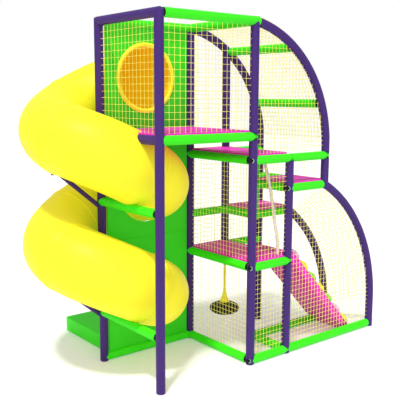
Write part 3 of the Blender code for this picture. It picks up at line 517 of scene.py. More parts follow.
def finish_named(name):
    """The finish of that name, made the first time it is asked for."""
    if name not in FINISHES:
        scene = bpy.context.scene
        recipe, *values = {
            "purple vinyl": (vinyl, scene.maze_sleeves.post_colour),
            "green vinyl": (vinyl, scene.maze_sleeves.beam_colour),
            "magenta vinyl": (vinyl, scene.maze_pads.colour),
            "black vinyl": (vinyl, (0.014, 0.009, 0.020)),
            "dark foam": (foam, (0.012, 0.010, 0.016)),
            "green board": (moulded, scene.maze_boards.colour, 0.42),
            # A last number for a plastic or a cord is its glow: painted light, a constant emission.
            "yellow plastic": (moulded, scene.maze_slide.colour, 0.44, 0.10),
            # The slide's inner wall: its own yellow painted darker amber as shade inside the tube, and
            # glowing.
            "amber plastic": (moulded, (0.860, 0.580, 0.003), 0.40, 0.16),
            "mustard plastic": (moulded, (0.900, 0.790, 0.030), 0.40, 0.10),
            "pale plastic": (moulded, (0.880, 0.830, 0.880), 0.25),
            # Painted highlight: the pale crescent in the openings at the joints.
            "mint plastic": (moulded, (0.420, 0.660, 0.520), 0.40),
            "net cord": (braid, scene.maze_nets.colour, 0.24),
            "rope cord": (braid, (0.850, 0.760, 0.030), 0.15),
            "lilac plastic": (grit, scene.maze_holds.lilac),
            "lime plastic": (grit, scene.maze_holds.lime),
            "lemon plastic": (grit, scene.maze_slide.colour),
            "zinc steel": (galvanised, (0.60, 0.62, 0.62)),
        }[name]
        FINISHES[name] = recipe(name, *values)
    return FINISHES[name]


def slotted(piece, *finishes):
    """Give a piece more finishes."""
    for name in finishes:
        piece.data.materials.append(finish_named(name))
    return piece


def second_finish(piece):
    """In edit mode, give the selection the piece's second finish."""
    piece.active_material_index = 1
    bpy.ops.object.material_slot_assign()


def dress(piece, node, slot, *finishes, body="maze", angle=40):
    """Shade a piece and give it its finishes and the body it rides on, and hide the node it stands for.
    Joining leaves an empty slot where a part had none, and the first finish fills it. The slot argument is
    not used."""
    activate(piece)
    bpy.ops.object.shade_smooth_by_angle(angle=math.radians(angle))
    slots = piece.data.materials
    for i, name in enumerate(finishes[:len(slots)]):
        slots[i] = finish_named(name)
    slotted(piece, *finishes[len(slots):])
    for i, finish in enumerate(slots):
        slots[i] = finish or finish_named(finishes[0])
    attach(piece, body)
    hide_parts(node)
    return piece


# Sleeves

CROSS_END = 0.0613        # a crosswise beam's front end stops this far from its post's axis
TOP_END = 0.052           # the top beams run this far past the middle posts
NOSE = 0.050              # a lengthwise beam's tapered end runs this far past the axis of its post
NOSE_ROOM = 0.0006        # room round a tapered end in what it crosses
CHAMFER = 0.034           # cut off the two upper corners of the tower's left side
STUB = 0.055              # a short post runs this far past the axis of the beam at its end
OPENING_R = 0.030         # radius of the openings over the pipe fittings

VIEWED = Vector((-0.78, -0.63, 0.0))      # side of the front posts that carries the openings
ACROSS = VIEWED.cross(Z_WAY).normalized()
OPENINGS = (("frame_landing", BAY, Z_LANDING), ("frame_step_high", BAY, Z_STEP_HIGH),
            ("frame_ground", BAY, Z_GROUND), ("frame_steps", X_STEP, Z_STEP_LOW))


def is_end(face):
    """Whether a face closes a sleeve: only those have more than four corners."""
    return len(face.verts) > 4


def sleeve(name, a, b, radius=None, rounding=None):
    """Straight foam sleeve between two places of the plan grid. Rounding is for both ends or one for each."""
    sizes = bpy.context.scene.maze_sleeves
    rounding = sizes.rim if rounding is None else rounding
    ends = rounding if isinstance(rounding, tuple) else (rounding, rounding)
    a, b = at(*a), at(*b)
    way = b - a
    deselect()
    bpy.ops.mesh.primitive_cylinder_add(vertices=32, radius=radius or sizes.radius, depth=way.length,
                                        end_fill_type="NGON", location=(a + b) / 2,
                                        rotation=way.to_track_quat("Z", "Y").to_euler())
    piece = slotted(fresh(name), "purple vinyl", "dark foam")
    edit(piece)
    for end, offset in zip((a, b), ends):
        if offset:
            pick(piece, "FACE", lambda f: is_end(f) and (f.calc_center_median() - end).length < 0.01)
            bpy.ops.mesh.region_to_loop()
            bpy.ops.mesh.bevel(offset=offset, segments=3, affect="EDGES")
    pick(piece, "FACE", is_end)
    bpy.ops.mesh.inset(thickness=0.004, use_individual=True)
    # The middle of each end takes the near-black second finish: dark foam, and painted shade where an end
    # faces a gap at a joint.
    pick(piece, "FACE", is_end)
    second_finish(piece)
    done()
    return piece


def arch_sleeve(name, arch, y, foot, radius, stops=30):
    """Sleeve bent along an arch and run down to its foot."""
    path = []
    for i in range(stops + 1):
        angle = arch.start * (1 - i / stops)
        p = arch.point(angle)
        path.append((at(p.x, y, p.z), 0.0, angle - math.pi / 2, radius))
    path.append((at(arch.foot, y, foot), 0.0, -math.pi / 2, radius))
    return sweep(name, path)


def post_room():
    """What beams are cut to: every post and arch, a hair larger."""
    grown = bpy.context.scene.maze_sleeves.radius + HAIR
    high = Z_TOP + 0.052
    rooms = [sleeve("room", (x, y, -0.01), (x, y, top), grown, 0.0)
             for x, y, top in ((0, 0, high), (0, DEPTH, high), (BAY, 0, high), (BAY, DEPTH, high),
                               (X_STEP, 0, Z_STEP_HIGH + 0.067), (X_STEP, DEPTH, Z_STEP_HIGH + 0.657))]
    rooms += [arch_sleeve("room", arch, y, foot, grown)
              for arch, y, foot in ((UPPER, 0, Z_STEP_LOW - 0.1), (UPPER, DEPTH, 0.0), (LOWER_FRONT, 0, 0.0),
                                    (LOWER_REAR, HALF, 0.0))]
    return join("room", rooms)


def meet_post(beam, x, y, z):
    """Cut a beam to the round of one post."""
    grown = bpy.context.scene.maze_sleeves.radius + HAIR
    return carve(beam, sleeve("room", (x, y, z - 0.1), (x, y, z + 0.1), grown, 0.0))


def mitred(piece, y, post):
    """Cut a post or the beam between two posts to the mitre where they meet, half a hair short of it,
    and take its outer corner off."""
    out = -1 if y == 0 else 1
    side = 1 if post else -1
    trim(piece, at(0, y, Z_TOP - HAIR / 2 * side), (0, -out * side, side))
    cut = (2 * bpy.context.scene.maze_sleeves.radius - CHAMFER) / 2
    return trim(piece, at(0, y + out * cut, Z_TOP + cut), (0, out, 1))


def nosed(name, y, z, x0, x1, grow=0.0, deep=1.0):
    """Lengthwise beam whose right end tapers over the post that carries it."""
    r = bpy.context.scene.maze_sleeves.radius + grow
    stops = ((x0, r), (x1 - 0.040, r), (x1 - 0.030, r * 0.985), (x1 + NOSE - 0.012, r * 0.55),
             (x1 + NOSE, r * 0.42))
    beam = sweep(name, [(at(x, y, z), 0.0, 0.0, radius) for x, radius in stops])
    if deep != 1.0:
        edit(beam)
        bpy.ops.transform.resize(value=(1, deep, 1), center_override=at(x0, y, z))
        done()
    return slotted(beam, "purple vinyl", "dark foam")


def carve_noses(piece, y):
    """Cut a post or an arch to the tapered beams that cross it, deep enough to pass its front."""
    places = [(Z_TOWER, BAY), (Z_STEP_HIGH, X_STEP), (Z_STEP_HIGH, X_END)]
    if y == 0:
        places.append((Z_LANDING, X_STEP))
    for z, x in places:
        carve(piece, nosed("room", y, z, x - 0.1, x, NOSE_ROOM, 1.7))


def opening(x, z):
    """Round bar that sits askew in a front post, to open its sleeve over the pipe fitting. Its faces take
    the near-black second finish, so the opening it cuts is lined in painted shade.
    """
    middle = Vector((x, 0, z)) + ACROSS * 0.010
    bar = sleeve("opening", middle + VIEWED * 0.022, middle + VIEWED * 0.08, OPENING_R, 0.0)
    edit(bar)
    # Near-black lining: painted shade in the opening.
    second_finish(bar)
    done()
    return bar


def highlight_crescent(x, z):
    """Pale half ring in the opening's right half: painted highlight for the lit side of the opening's inner
    wall.
    """
    middle = Vector((x, 0, z)) + ACROSS * 0.008 + VIEWED * 0.036
    rim = ring("highlight_crescent", at(*middle), VIEWED.to_track_quat("Z", "Y").to_euler(), 0.0225, 0.0045, (32, 8))
    # Only the lit half is kept: a painted highlight.
    return slotted(trim(rim, at(*(middle - ACROSS * 0.002)), ACROSS), "mint plastic")


class MAZE_OT_posts(bpy.types.Operator):
    """Six upright posts in purple sleeves"""
    bl_idname = "maze.posts"
    bl_label = "Posts"

    def execute(self, context):
        for name, x, y, z0, z1 in (
                ("front_left", 0, 0, 0, Z_TOP + 0.1),
                ("back_left", 0, DEPTH, 0, Z_TOP + 0.1),
                ("back_middle", BAY, DEPTH, 0, Z_TOP - 0.001),
                ("front_middle", BAY, 0, 0, Z_TOP - 0.001),
                ("front_step", X_STEP, 0, 0, Z_STEP_HIGH + 0.020),
                ("back_step", X_STEP, DEPTH, Z_LANDING - STUB, UPPER.height(X_STEP) - 0.020)):
            post = sleeve("sleeve_post_" + name, (x, y, z0), (x, y, z1), rounding=(0.012, 0.0))
            if x == 0:
                mitred(post, y, True)
            else:
                carve_noses(post, y)
            if x == BAY:
                carve(post, long_beam(y, Z_TOP, 0, BAY + TOP_END, HAIR))
            for _, post_x, z in OPENINGS:
                if (x, y) == (post_x, 0):
                    carve(post, opening(x, z))
            dress(post, "post_" + name, "purple_vinyl")
        return {"FINISHED"}


class MAZE_OT_arches(bpy.types.Operator):
    """Two tall and two low arches in bent purple sleeves"""
    bl_idname = "maze.arches"
    bl_label = "Arches"

    def execute(self, context):
        r = context.scene.maze_sleeves.radius
        for name, arch, y, foot in (("upper_front", UPPER, 0, Z_STEP_LOW - r),
                                    ("upper_back", UPPER, DEPTH, 0.0),
                                    ("lower_front", LOWER_FRONT, 0, 0.0),
                                    ("lower_rear", LOWER_REAR, HALF, 0.0)):
            piece = arch_sleeve("sleeve_arch_" + name, arch, y, foot, r)
            if arch is UPPER:
                carve(piece, box("room", (BAY - 0.2, y - 0.1, Z_TOP - 0.2),
                                 (BAY + TOP_END + HAIR, y + 0.1, Z_TOP + 0.2)))
                carve_noses(piece, y)
            dress(piece, "arch_" + name, "purple_vinyl", "purple vinyl")
        return {"FINISHED"}


def cross_beam(x, z, y0=0.0, y1=DEPTH):
    """Crosswise beam. A gap at its front end shows the pipe, and its back end meets its post."""
    return sleeve("beam", (x, y0 + CROSS_END, z), (x, y1, z))


def long_beam(y, z, x0, x1, grow=0.0):
    """Lengthwise beam from post to post."""
    radius = bpy.context.scene.maze_sleeves.radius + grow
    return sleeve("beam", (x0, y, z), (x1, y, z), radius, 0.0)


def top_beam(y):
    """Lengthwise beam on top of the tower, from the mitred post to past the middle one."""
    start = bpy.context.scene.maze_sleeves.radius + 0.0005
    return sleeve("beam", (start, y, Z_TOP), (BAY + TOP_END, y, Z_TOP), rounding=(0.0, 0.009))


def nose_beam(y, z, x0, x1):
    """Lengthwise beam with a tapered end, cut to the post and the tapered beam that it starts at."""
    beam = nosed("beam", y, z, x0 + 0.018, x1)
    if x0 == X_STEP:
        carve(beam, nosed("room", y, z, x0 - 0.1, x0, NOSE_ROOM))
    if x0 != X_STEP or y:
        meet_post(beam, x0, y, z)
    return beam


def short_post(x, y, z0, z1):
    """Short green post at a corner between two decks."""
    radius = bpy.context.scene.maze_sleeves.radius + 0.001
    return sleeve("beam", (x, y, z0), (x, y, z1), radius)


def clamp(x, z, y0=0.0):
    """Short pipe stub in the gap at a crosswise beam's front end, near-black as painted shade of the gap."""
    return sleeve("clamp", (x, y0 + 0.046, z), (x, y0 + CROSS_END + 0.002, z), 0.031, 0.0)


class MAZE_OT_beams(bpy.types.Operator):
    """Green beams of each level, cut to the round of the posts, with their clamps"""
    bl_idname = "maze.beams"
    bl_label = "Beams"

    def execute(self, context):
        levels = {
            "frame_top": [(cross_beam, BAY, Z_TOP), (top_beam, 0), (top_beam, DEPTH)],
            "frame_tower_deck": [
                (cross_beam, BAY, Z_TOWER), (nose_beam, 0, Z_TOWER, 0, BAY),
                (nose_beam, DEPTH, Z_TOWER, 0, BAY)],
            "frame_step_high": [
                (cross_beam, BAY, Z_STEP_HIGH), (cross_beam, X_STEP, Z_STEP_HIGH),
                (nose_beam, 0, Z_STEP_HIGH, BAY, X_STEP), (nose_beam, DEPTH, Z_STEP_HIGH, BAY, X_STEP),
                (nose_beam, 0, Z_STEP_HIGH, X_STEP, X_END), (nose_beam, DEPTH, Z_STEP_HIGH, X_STEP, X_END)],
            "frame_steps": [
                (short_post, X_STEP, HALF, Z_MID - STUB, Z_STEP_HIGH - context.scene.maze_sleeves.radius),
                (short_post, X_END, HALF, Z_MID - STUB, Z_STEP_LOW - 0.02),
                (long_beam, HALF, Z_MID, X_STEP, X_END), (cross_beam, X_END, Z_STEP_LOW),
                (long_beam, HALF, Z_STEP_LOW, X_STEP, X_END), (cross_beam, X_STEP, Z_STEP_LOW, 0, HALF),
                (long_beam, 0, Z_STEP_LOW, X_STEP, X_END - NOTCH), (cross_beam, X_STEP, Z_MID, HALF, DEPTH),
                (cross_beam, X_END, Z_MID, HALF, DEPTH), (long_beam, DEPTH, Z_MID, X_STEP, X_END),
                (long_beam, DEPTH, Z_MID, BAY, X_STEP)],
            "frame_landing": [
                (cross_beam, BAY, Z_LANDING), (cross_beam, X_STEP, Z_LANDING),
                (nose_beam, 0, Z_LANDING, BAY, X_STEP), (long_beam, DEPTH, Z_LANDING, BAY, X_STEP),
                (long_beam, DEPTH, Z_LANDING, X_STEP, X_END)],
            "frame_ground": [
                (long_beam, DEPTH, Z_GROUND, 0, BAY), (cross_beam, BAY, Z_GROUND),
                (long_beam, 0, Z_GROUND, BAY, X_STEP), (long_beam, 0, Z_GROUND, X_STEP, X_FOOT - NOTCH),
                (cross_beam, X_STEP, Z_GROUND, 0, HALF), (short_post, X_STEP, HALF, 0.002, Z_GROUND + STUB),
                (long_beam, HALF, Z_GROUND, X_STEP, X_FOOT_REAR)],
            "beam_arch_high": [(cross_beam, 1.780, UPPER.height(1.780))],
            "beam_arch_low": [(cross_beam, 2.244, UPPER.height(2.244))],
        }
        room = post_room()
        for node, beams in levels.items():
            sleeves, fittings = [], []
            for make, *sizes in beams:
                beam = make(*sizes)
                if make in (cross_beam, long_beam) and node != "frame_top":     # those lie over the posts
                    carve(beam, room, keep=True)
                sleeves.append(beam)
                if make is cross_beam:
                    fittings.append(clamp(*sizes[:3]))
            fittings += [highlight_crescent(x, z) for level, x, z in OPENINGS if level == node]
            dress(join("sleeves_" + node, sleeves), node, "green_vinyl", "green vinyl", "dark foam")
            # The clamps are near-black: painted shade of the gap, not the colour of their steel.
            dress(join("clamps_" + node, fittings), node, "zinc_steel",
                  "dark foam", "dark foam", "mint plastic")
        remove(room)
        return {"FINISHED"}


# Slide

JOINTS = (2.2, 100, 190, 280, 460, 550, 640, 720)     # degrees round the slide's axis
SLIDE_X, SLIDE_R = 0.060, 0.523                       # its axis and the radius of its path
Z_MOUTH, PITCH = 3.102, 1.212                         # height of its mouth, drop of one turn
SWAY = 0.036                                          # how far it strays from an even fall
MOUTH_Y = 0.0063                                      # the mouth ring stands this far before its start
SEAM, BELL_RUN, STEP_RUN = 0.06, 3.2, 4               # degrees from a joint: its seam, bell and step
STRAIGHT = 16                                         # degrees over which the first section bends in
STOP_RUN = 3.5                                        # degrees from stop to stop, about
SADDLE_R, STRUT_R = 0.378, 0.024                      # a saddle's middle under the tube's axis, the bar
SADDLE = Vector((0.055, 0.070, 0.012))                # half its size


def slide_stop(degrees, radius=0.0):
    """One stop of the slide's path: two turns, flatter where it crosses the back panel."""
    a = math.radians(degrees)
    z = Z_MOUTH - PITCH * degrees / 360 + SWAY * math.sin(2 * a)
    fall = -PITCH / math.tau + 2 * SWAY * math.cos(2 * a)
    point = at(SLIDE_X + SLIDE_R * math.cos(a), DEPTH + SLIDE_R * math.sin(a), z)
    return (point, a + math.pi / 2, math.atan2(fall, SLIDE_R), radius)


def slide_core(room=TUBE_ROOM, sides=32):
    """Solid tube a little larger than the slide, to cut the pieces that it passes."""
    radius = bpy.context.scene.maze_slide.tube + room
    first, *path = [slide_stop(d, radius) for d in (0, *range(24, 721, 6))]
    last = path[-1]
    return sweep("slide_core", [(first[0] - Y_WAY * 0.06, math.pi / 2, 0.0, radius), *path,
                                (last[0] + Y_WAY * 0.16, *last[1:])], sides)


def slide_path(i, sizes):
    """Stops of one section: its bell and step at the upper end, then an even tube. The first one starts
    straight in the mouth, and the last one ends straight in a thicker rim."""
    first, last = JOINTS[i], JOINTS[i + 1]
    bell = sizes.tube + (sizes.bell if i else 0.0)
    step = STEP_RUN if i else STRAIGHT
    stops = [(first + SEAM, bell)] + ([(first + BELL_RUN, bell)] if i else []) + [(first + step, sizes.tube)]
    count = round((last - first - step) / STOP_RUN)
    stops += [(first + step + (last - first - step) * k / count, sizes.tube) for k in range(1, count + 1)]
    path = [slide_stop(d, r) for d, r in stops]
    if i == 0:
        start = path[0][0]
        path[0] = (Vector((start.x, ORIGIN.y + DEPTH + 0.007, start.z)), math.pi / 2, 0.0, sizes.tube)
    if i == len(JOINTS) - 2:
        end, yaw, pitch, _ = path[-1]
        path += [(end + Y_WAY * run, yaw, pitch, sizes.tube + rim)
                 for run, rim in ((0.085, 0.0), (0.092, 0.004), (0.110, 0.004))]
    return path


class MAZE_OT_slide(bpy.types.Operator):
    """Seven moulded sections of the tube slide, each with a bell over the one above it"""
    bl_idname = "maze.slide"
    bl_label = "Slide"

    def execute(self, context):
        sizes = context.scene.maze_slide
        for i in range(len(JOINTS) - 1):
            section = sweep(f"slide_shell_{i + 1}", slide_path(i, sizes), 64, closed=False)
            slotted(section, "yellow plastic", "amber plastic")
            wall = section.modifiers.new("wall", "SOLIDIFY")
            wall.thickness = sizes.wall
            wall.offset = -1.0
            # The inner wall takes the second finish, the painted amber shade inside the tube.
            wall.material_offset = 1
            wall.material_offset_rim = 0
            apply(section)
            dress(section, f"slide_section_{i + 1}", "yellow_plastic", angle=50)
        return {"FINISHED"}


class MAZE_OT_mouth(bpy.types.Operator):
    """Rounded ring round the slide's mouth"""
    bl_idname = "maze.mouth"
    bl_label = "Mouth ring"

    def execute(self, context):
        middle = slide_stop(0)[0] - Y_WAY * MOUTH_Y
        mouth = ring("mouth_ring", middle, (math.pi / 2, 0, 0), 0.3565, 0.0235, (64, 16), (1, 1, 0.6))
        outward(trim(mouth, middle, Y_WAY))
        dress(mouth, "slide_mouth_ring", "yellow_plastic", "yellow plastic")
        return {"FINISHED"}


def strut(name, z, degrees, core):
    """Bar from the back left post up to a saddle under the slide's tube."""
    centre, yaw, pitch, _ = slide_stop(degrees)
    along = Vector((math.cos(pitch) * math.cos(yaw), math.cos(pitch) * math.sin(yaw), math.sin(pitch)))
    up = along.cross(Z_WAY).cross(along).normalized()
    seat = centre - up * SADDLE_R
    foot = at(0, DEPTH, z)
    way = (foot - seat).normalized()
    grid = seat - ORIGIN
    bar = sleeve("bar", foot - way * 0.044 - ORIGIN, grid - Z_WAY * 0.004, STRUT_R, 0.0)
    saddle = box("saddle", grid - SADDLE, grid + SADDLE, 0.006)
    edit(saddle)
    turn(-pitch, "X", seat)
    turn(yaw - math.pi / 2, "Z", seat)
    done()
    return join(name, [carve(bar, core, keep=True), carve(saddle, core, keep=True)])


class MAZE_OT_slide_rests(bpy.types.Operator):
    """Purple top and side beams of the tower, green beams and purple struts that carry the slide"""
    bl_idname = "maze.slide_rests"
    bl_label = "Slide rests"

    def execute(self, context):
        core = slide_core()
        top = sleeve("sleeve_beam_top_left", (0, -0.1, Z_TOP), (0, DEPTH + 0.1, Z_TOP), rounding=0.0)
        mitred(mitred(top, 0, False), DEPTH, False)
        dress(top, "beam_top_left", "purple_vinyl", "purple vinyl", "dark foam")
        # The tower's side beam is short: its rear end is cut to the tube
        for node, z, y0, y1, finish in (("beam_tower_left", Z_TOWER, 0.0, 0.5, "purple vinyl"),
                                        ("beam_slide_high", Z_REST_HIGH, CROSS_END, DEPTH, "green vinyl"),
                                        ("beam_slide_low", Z_REST_LOW, CROSS_END, DEPTH, "green vinyl")):
            slot = finish.replace(" ", "_")
            beam = carve(sleeve("sleeve_" + node, (0, y0, z), (0, y1, z)), core, keep=True)
            for y in (0, DEPTH):
                meet_post(beam, 0, y, z)
            dress(beam, node, slot, finish, "dark foam")
            if y0 == CROSS_END:
                # The clamp is near-black: painted shade of the gap, not the colour of its steel.
                dress(join("clamps_" + node, [clamp(0, z)]), node, slot, "dark foam", "dark foam")
        for node, z, degrees in (("slide_strut_high", 1.716, 183), ("slide_strut_low", 0.504, 543)):
            piece = strut("sleeve_" + node, z, degrees, core)
            dress(piece, node, "purple_vinyl", "purple vinyl", "dark foam")
        remove(core)
        return {"FINISHED"}


class MAZE_OT_panels(bpy.types.Operator):
    """Three green back panels with the mouth and the holes for the tube"""
    bl_idname = "maze.panels"
    bl_label = "Panels"

    def execute(self, context):
        core = slide_core(sides=48)
        mouth = slide_stop(0)[0] - ORIGIN
        hole = sleeve("hole", mouth - Y_WAY * 0.05, mouth + Y_WAY * 0.05, 0.339, 0.0)
        for name, cutter in (("panel_upper", hole), ("panel_middle", core), ("panel_lower", core)):
            low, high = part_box(name)
            low.x += 0.016      # the left edge stops at the round of the back left post
            panel = box("board_" + name, low - ORIGIN, high - ORIGIN, 0.003, 2)
            dress(carve(panel, cutter, keep=True), name, "green_board", "green board")
        remove(hole)
        remove(core)
        return {"FINISHED"}


# Decks, ramp and mat

PAD_GRID, PAD_RIM = 0.06, 0.005           # squares that a pad is divided into, and its rounded edge
BOARD_IN, BOARD_DEEP = 0.051, 0.045       # a pad's board lies in from its edges, and hangs down this far


def pad(name, x0, x1, y0, y1, z):
    """Padded sheet over the beams of a level, notched at its posts and crowned between its edges."""
    low = z + bpy.context.scene.maze_sleeves.radius + SEAT
    deselect()
    bpy.ops.mesh.primitive_grid_add(x_subdivisions=max(6, round((x1 - x0) / PAD_GRID)),
                                    y_subdivisions=max(6, round((y1 - y0) / PAD_GRID)), size=1,
                                    location=at((x0 + x1) / 2, (y0 + y1) / 2, low))
    piece = fresh(name, (x1 - x0, y1 - y0, 1))
    edit(piece)
    for x in (x0 + NOTCH, x1 - NOTCH):
        bisect(at(x, y0, z), X_WAY)
    for y in (y0 + NOTCH, y1 - NOTCH):
        bisect(at(x0, y, z), Y_WAY)

    def in_notch(face):
        c = face.calc_center_median() - ORIGIN
        return (c.x < x0 + NOTCH or c.x > x1 - NOTCH) and (c.y < y0 + NOTCH or c.y > y1 - NOTCH)
    pick(piece, "FACE", in_notch)
    bpy.ops.mesh.delete(type="FACE")
    bpy.ops.mesh.select_all(action="SELECT")
    bpy.ops.mesh.extrude_region_move(TRANSFORM_OT_translate={"value": (0, 0, PAD_THICK)})
    bpy.ops.mesh.region_to_loop()
    bpy.ops.mesh.bevel(offset=PAD_RIM, segments=3, affect="EDGES")
    bpy.ops.mesh.select_all(action="SELECT")
    bpy.ops.mesh.normals_make_consistent(inside=False)
    done()
    crown = bpy.context.scene.maze_pads.crown
    for v in piece.data.vertices:
        p = v.co - ORIGIN
        if p.z > low + PAD_THICK - 0.002:
            u, w = (p.x - x0) / (x1 - x0), (p.y - y0) / (y1 - y0)
            v.co.z += crown * min(1.0, 6 * u * (1 - u)) * min(1.0, 6 * w * (1 - w))
    return piece


def board(x0, x1, y0, y1, z):
    """Board that hangs under a pad, between the beams."""
    low = z + bpy.context.scene.maze_sleeves.radius + SEAT
    return box("board", (x0 + BOARD_IN, y0 + BOARD_IN, low - BOARD_DEEP),
               (x1 - BOARD_IN, y1 - BOARD_IN, low + 0.002), 0.004)


class MAZE_OT_decks(bpy.types.Operator):
    """Five magenta padded decks"""
    bl_idname = "maze.decks"
    bl_label = "Decks"

    def execute(self, context):
        for name, *sizes in (("tower", 0, BAY, 0, DEPTH, Z_TOWER),
                             ("step_high", BAY, X_STEP, 0, DEPTH, Z_STEP_HIGH),
                             ("step_low", X_STEP, X_END, 0, HALF, Z_STEP_LOW),
                             ("mid", X_STEP, X_END, HALF, DEPTH, Z_MID),
                             ("landing", BAY, X_STEP, 0, DEPTH, Z_LANDING)):
            parts = [pad("pad_" + name, *sizes), board(*sizes)]
            if name == "tower":
                for part in parts:
                    carve(part, slide_core())
            deck = join("pad_" + name, parts)
            dress(deck, "deck_" + name, "magenta_vinyl", "magenta vinyl", angle=50)
        return {"FINISHED"}


RAMP_CREST, RAMP_TOE = 1.902, 2.9975      # where its slope starts, and where it meets the floor
RAMP_HEEL = RAMP_TOE - 0.126
RAMP_SLOPE = 1.05                         # drop for each metre along
RAMP_Y = (0.050, 0.606)
RAMP_Z = Z_LANDING + PAD_TOP
RAMP_UP = Vector((RAMP_SLOPE, 0, 1)).normalized()
BEAM_ROOM = 0.050                         # what a notch leaves free beside a beam's axis

HOLD_ROWS, HOLD_STEP = 7, 0.152           # holds in the longer column, and metres from hold to hold
HOLD_DOME = ((0.0, 1.0), (0.20, 1.02), (0.45, 0.95), (0.68, 0.80), (0.86, 0.58), (0.96, 0.34), (1.0, 0.12))


def beam_notch():
    """What the ramp and the holds' sheet are cut to: the ground beam that they cross."""
    return box("room", (X_STEP + 0.4, HALF - BEAM_ROOM, -0.05), (X_FOOT, 0.7, Z_GROUND + BEAM_ROOM))


class MAZE_OT_ramp(bpy.types.Operator):
    """Padded climbing ramp"""
    bl_idname = "maze.ramp"
    bl_label = "Ramp"

    def execute(self, context):
        edge = X_STEP + SEAT
        ramp = box("pad_ramp", (edge, RAMP_Y[0], 0), (RAMP_TOE, RAMP_Y[1], RAMP_Z))
        trim(ramp, at(RAMP_TOE, 0, 0), RAMP_UP)
        trim(ramp, at(RAMP_HEEL, 0, 0), -RAMP_UP)
        carve(ramp, box("room", (edge - 0.1, -0.1, -0.1), (edge + SLEEVE_R, 0.8, RAMP_Z - PAD_THICK)))
        carve(ramp, beam_notch())
        rounded(outward(ramp), 0.006, 3)
        dress(ramp, "ramp", "magenta_vinyl", "magenta vinyl", angle=50)
        return {"FINISHED"}


def hold_sheet(pitch):
    """Thin facing sheet on the ramp that the holds are fixed to."""
    length = RAMP_Z * math.hypot(1, RAMP_SLOPE) / RAMP_SLOPE
    crest = Vector((RAMP_CREST, sum(RAMP_Y) / 2, RAMP_Z))
    middle = crest + RAMP_UP * 0.0023 + Vector((1, 0, -RAMP_SLOPE)).normalized() * length / 2
    half = Vector((length / 2 - 0.02, (RAMP_Y[1] - RAMP_Y[0]) / 2 - 0.006, 0.002))
    sheet = box("hold_sheet", middle - half, middle + half, 0.0015, 2)
    edit(sheet)
    turn(pitch, "Y", middle + ORIGIN)
    done()
    return carve(sheet, beam_notch())


class MAZE_OT_holds(bpy.types.Operator):
    """Climbing holds in three colours on their facing sheet"""
    bl_idname = "maze.holds"
    bl_label = "Holds"

    def execute(self, context):
        sizes = context.scene.maze_holds
        pitch = math.atan2(RAMP_SLOPE, 1)
        dress(hold_sheet(pitch), "ramp_holds", "hold_plastic", "magenta vinyl")
        hold = sweep("hold", [(RAMP_UP * sizes.height * t, 0.0, math.pi / 2 - pitch, sizes.radius * k)
                              for t, k in HOLD_DOME], 24)
        order = ("lilac", "lemon", "lime", "lemon", "lime", "lilac", "lemon")
        groups = {"lilac": [], "lemon": [], "lime": []}
        for column, y in enumerate((0.150, 0.500)):
            for row in range(HOLD_ROWS - column):
                run = 0.075 + HOLD_STEP * (row + 0.5 * column)
                foot = at(RAMP_CREST + run, y, RAMP_Z - run * RAMP_SLOPE) + RAMP_UP * 0.0040
                groups[order[(row + 3 * column) % len(order)]].append(copied(hold, foot))
        remove(hold)
        for colour, group in groups.items():
            dress(join("holds_" + colour, group), "ramp_holds", "hold_plastic", colour + " plastic", angle=60)
        return {"FINISHED"}


class MAZE_OT_mat(bpy.types.Operator):
    """Landing mat at the slide's exit"""
    bl_idname = "maze.mat"
    bl_label = "Landing mat"

    def execute(self, context):
        low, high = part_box("exit_mat")
        mat = box("pad_mat", low - ORIGIN, high - ORIGIN)
        edit(mat)
        bpy.ops.mesh.subdivide(number_cuts=7)
        done()
        dress(rounded(mat, 0.012, 4), "exit_mat", "green_vinyl", "green vinyl", angle=50)
        return {"FINISHED"}


# Swing and pole

SWING_X, SWING_Y, EYE_Z = 1.464, 0.740, 0.935         # the rope's eye
DISC_MID, DISC_R, DISC_T = 0.407, 0.178, 0.150        # the disc's middle, radius and thickness
DISC_FLAT = 19                                        # its round stops this many degrees from the axis
DISC_Z = DISC_MID + DISC_T / 2 * math.cos(math.radians(DISC_FLAT))
CONE_H = 0.160
CONE = ((0.002, 0.048), (0.02, 0.051), (0.05, 0.052), (0.09, 0.051), (0.20, 0.0445), (0.33, 0.0370),
        (0.50, 0.0298), (0.66, 0.0242), (0.82, 0.0198), (0.94, 0.0172), (0.99, 0.0160), (1.0, 0.0148))
ROPE_R, NECK = 0.0145, 0.026                          # the rope, and the length of its thinner neck
ROPE_STEPS, ROPE_LAY = 44, 12                         # steps along a strand, and steps to a turn


def rope():
    """Three strands laid round each other, with the eye that hangs in the link."""
    low, high = DISC_Z + CONE_H + SEAT, EYE_Z - 0.012
    path = []
    for i in range(ROPE_STEPS + 1):
        a = math.tau * i / ROPE_LAY
        z = low + (high - low) * i / ROPE_STEPS
        r = 0.5 * (ROPE_R - 0.0045 * min(1.0, max(0.0, (z - EYE_Z + NECK + 0.008) / 0.008)))
        path.append((Vector((r * math.cos(a), r * math.sin(a), z)), 0.0, math.pi / 2, r))
    strand = sweep("strand", path, 12)
    strands = [copied(strand, at(SWING_X, SWING_Y, 0), math.tau * k / 3) for k in range(3)]
    remove(strand)
    eye = ring("eye", at(SWING_X, SWING_Y, EYE_Z), (math.pi / 2, 0, 0), 0.0115, 0.0050, (24, 10))
    return join("rope", [*strands, eye])


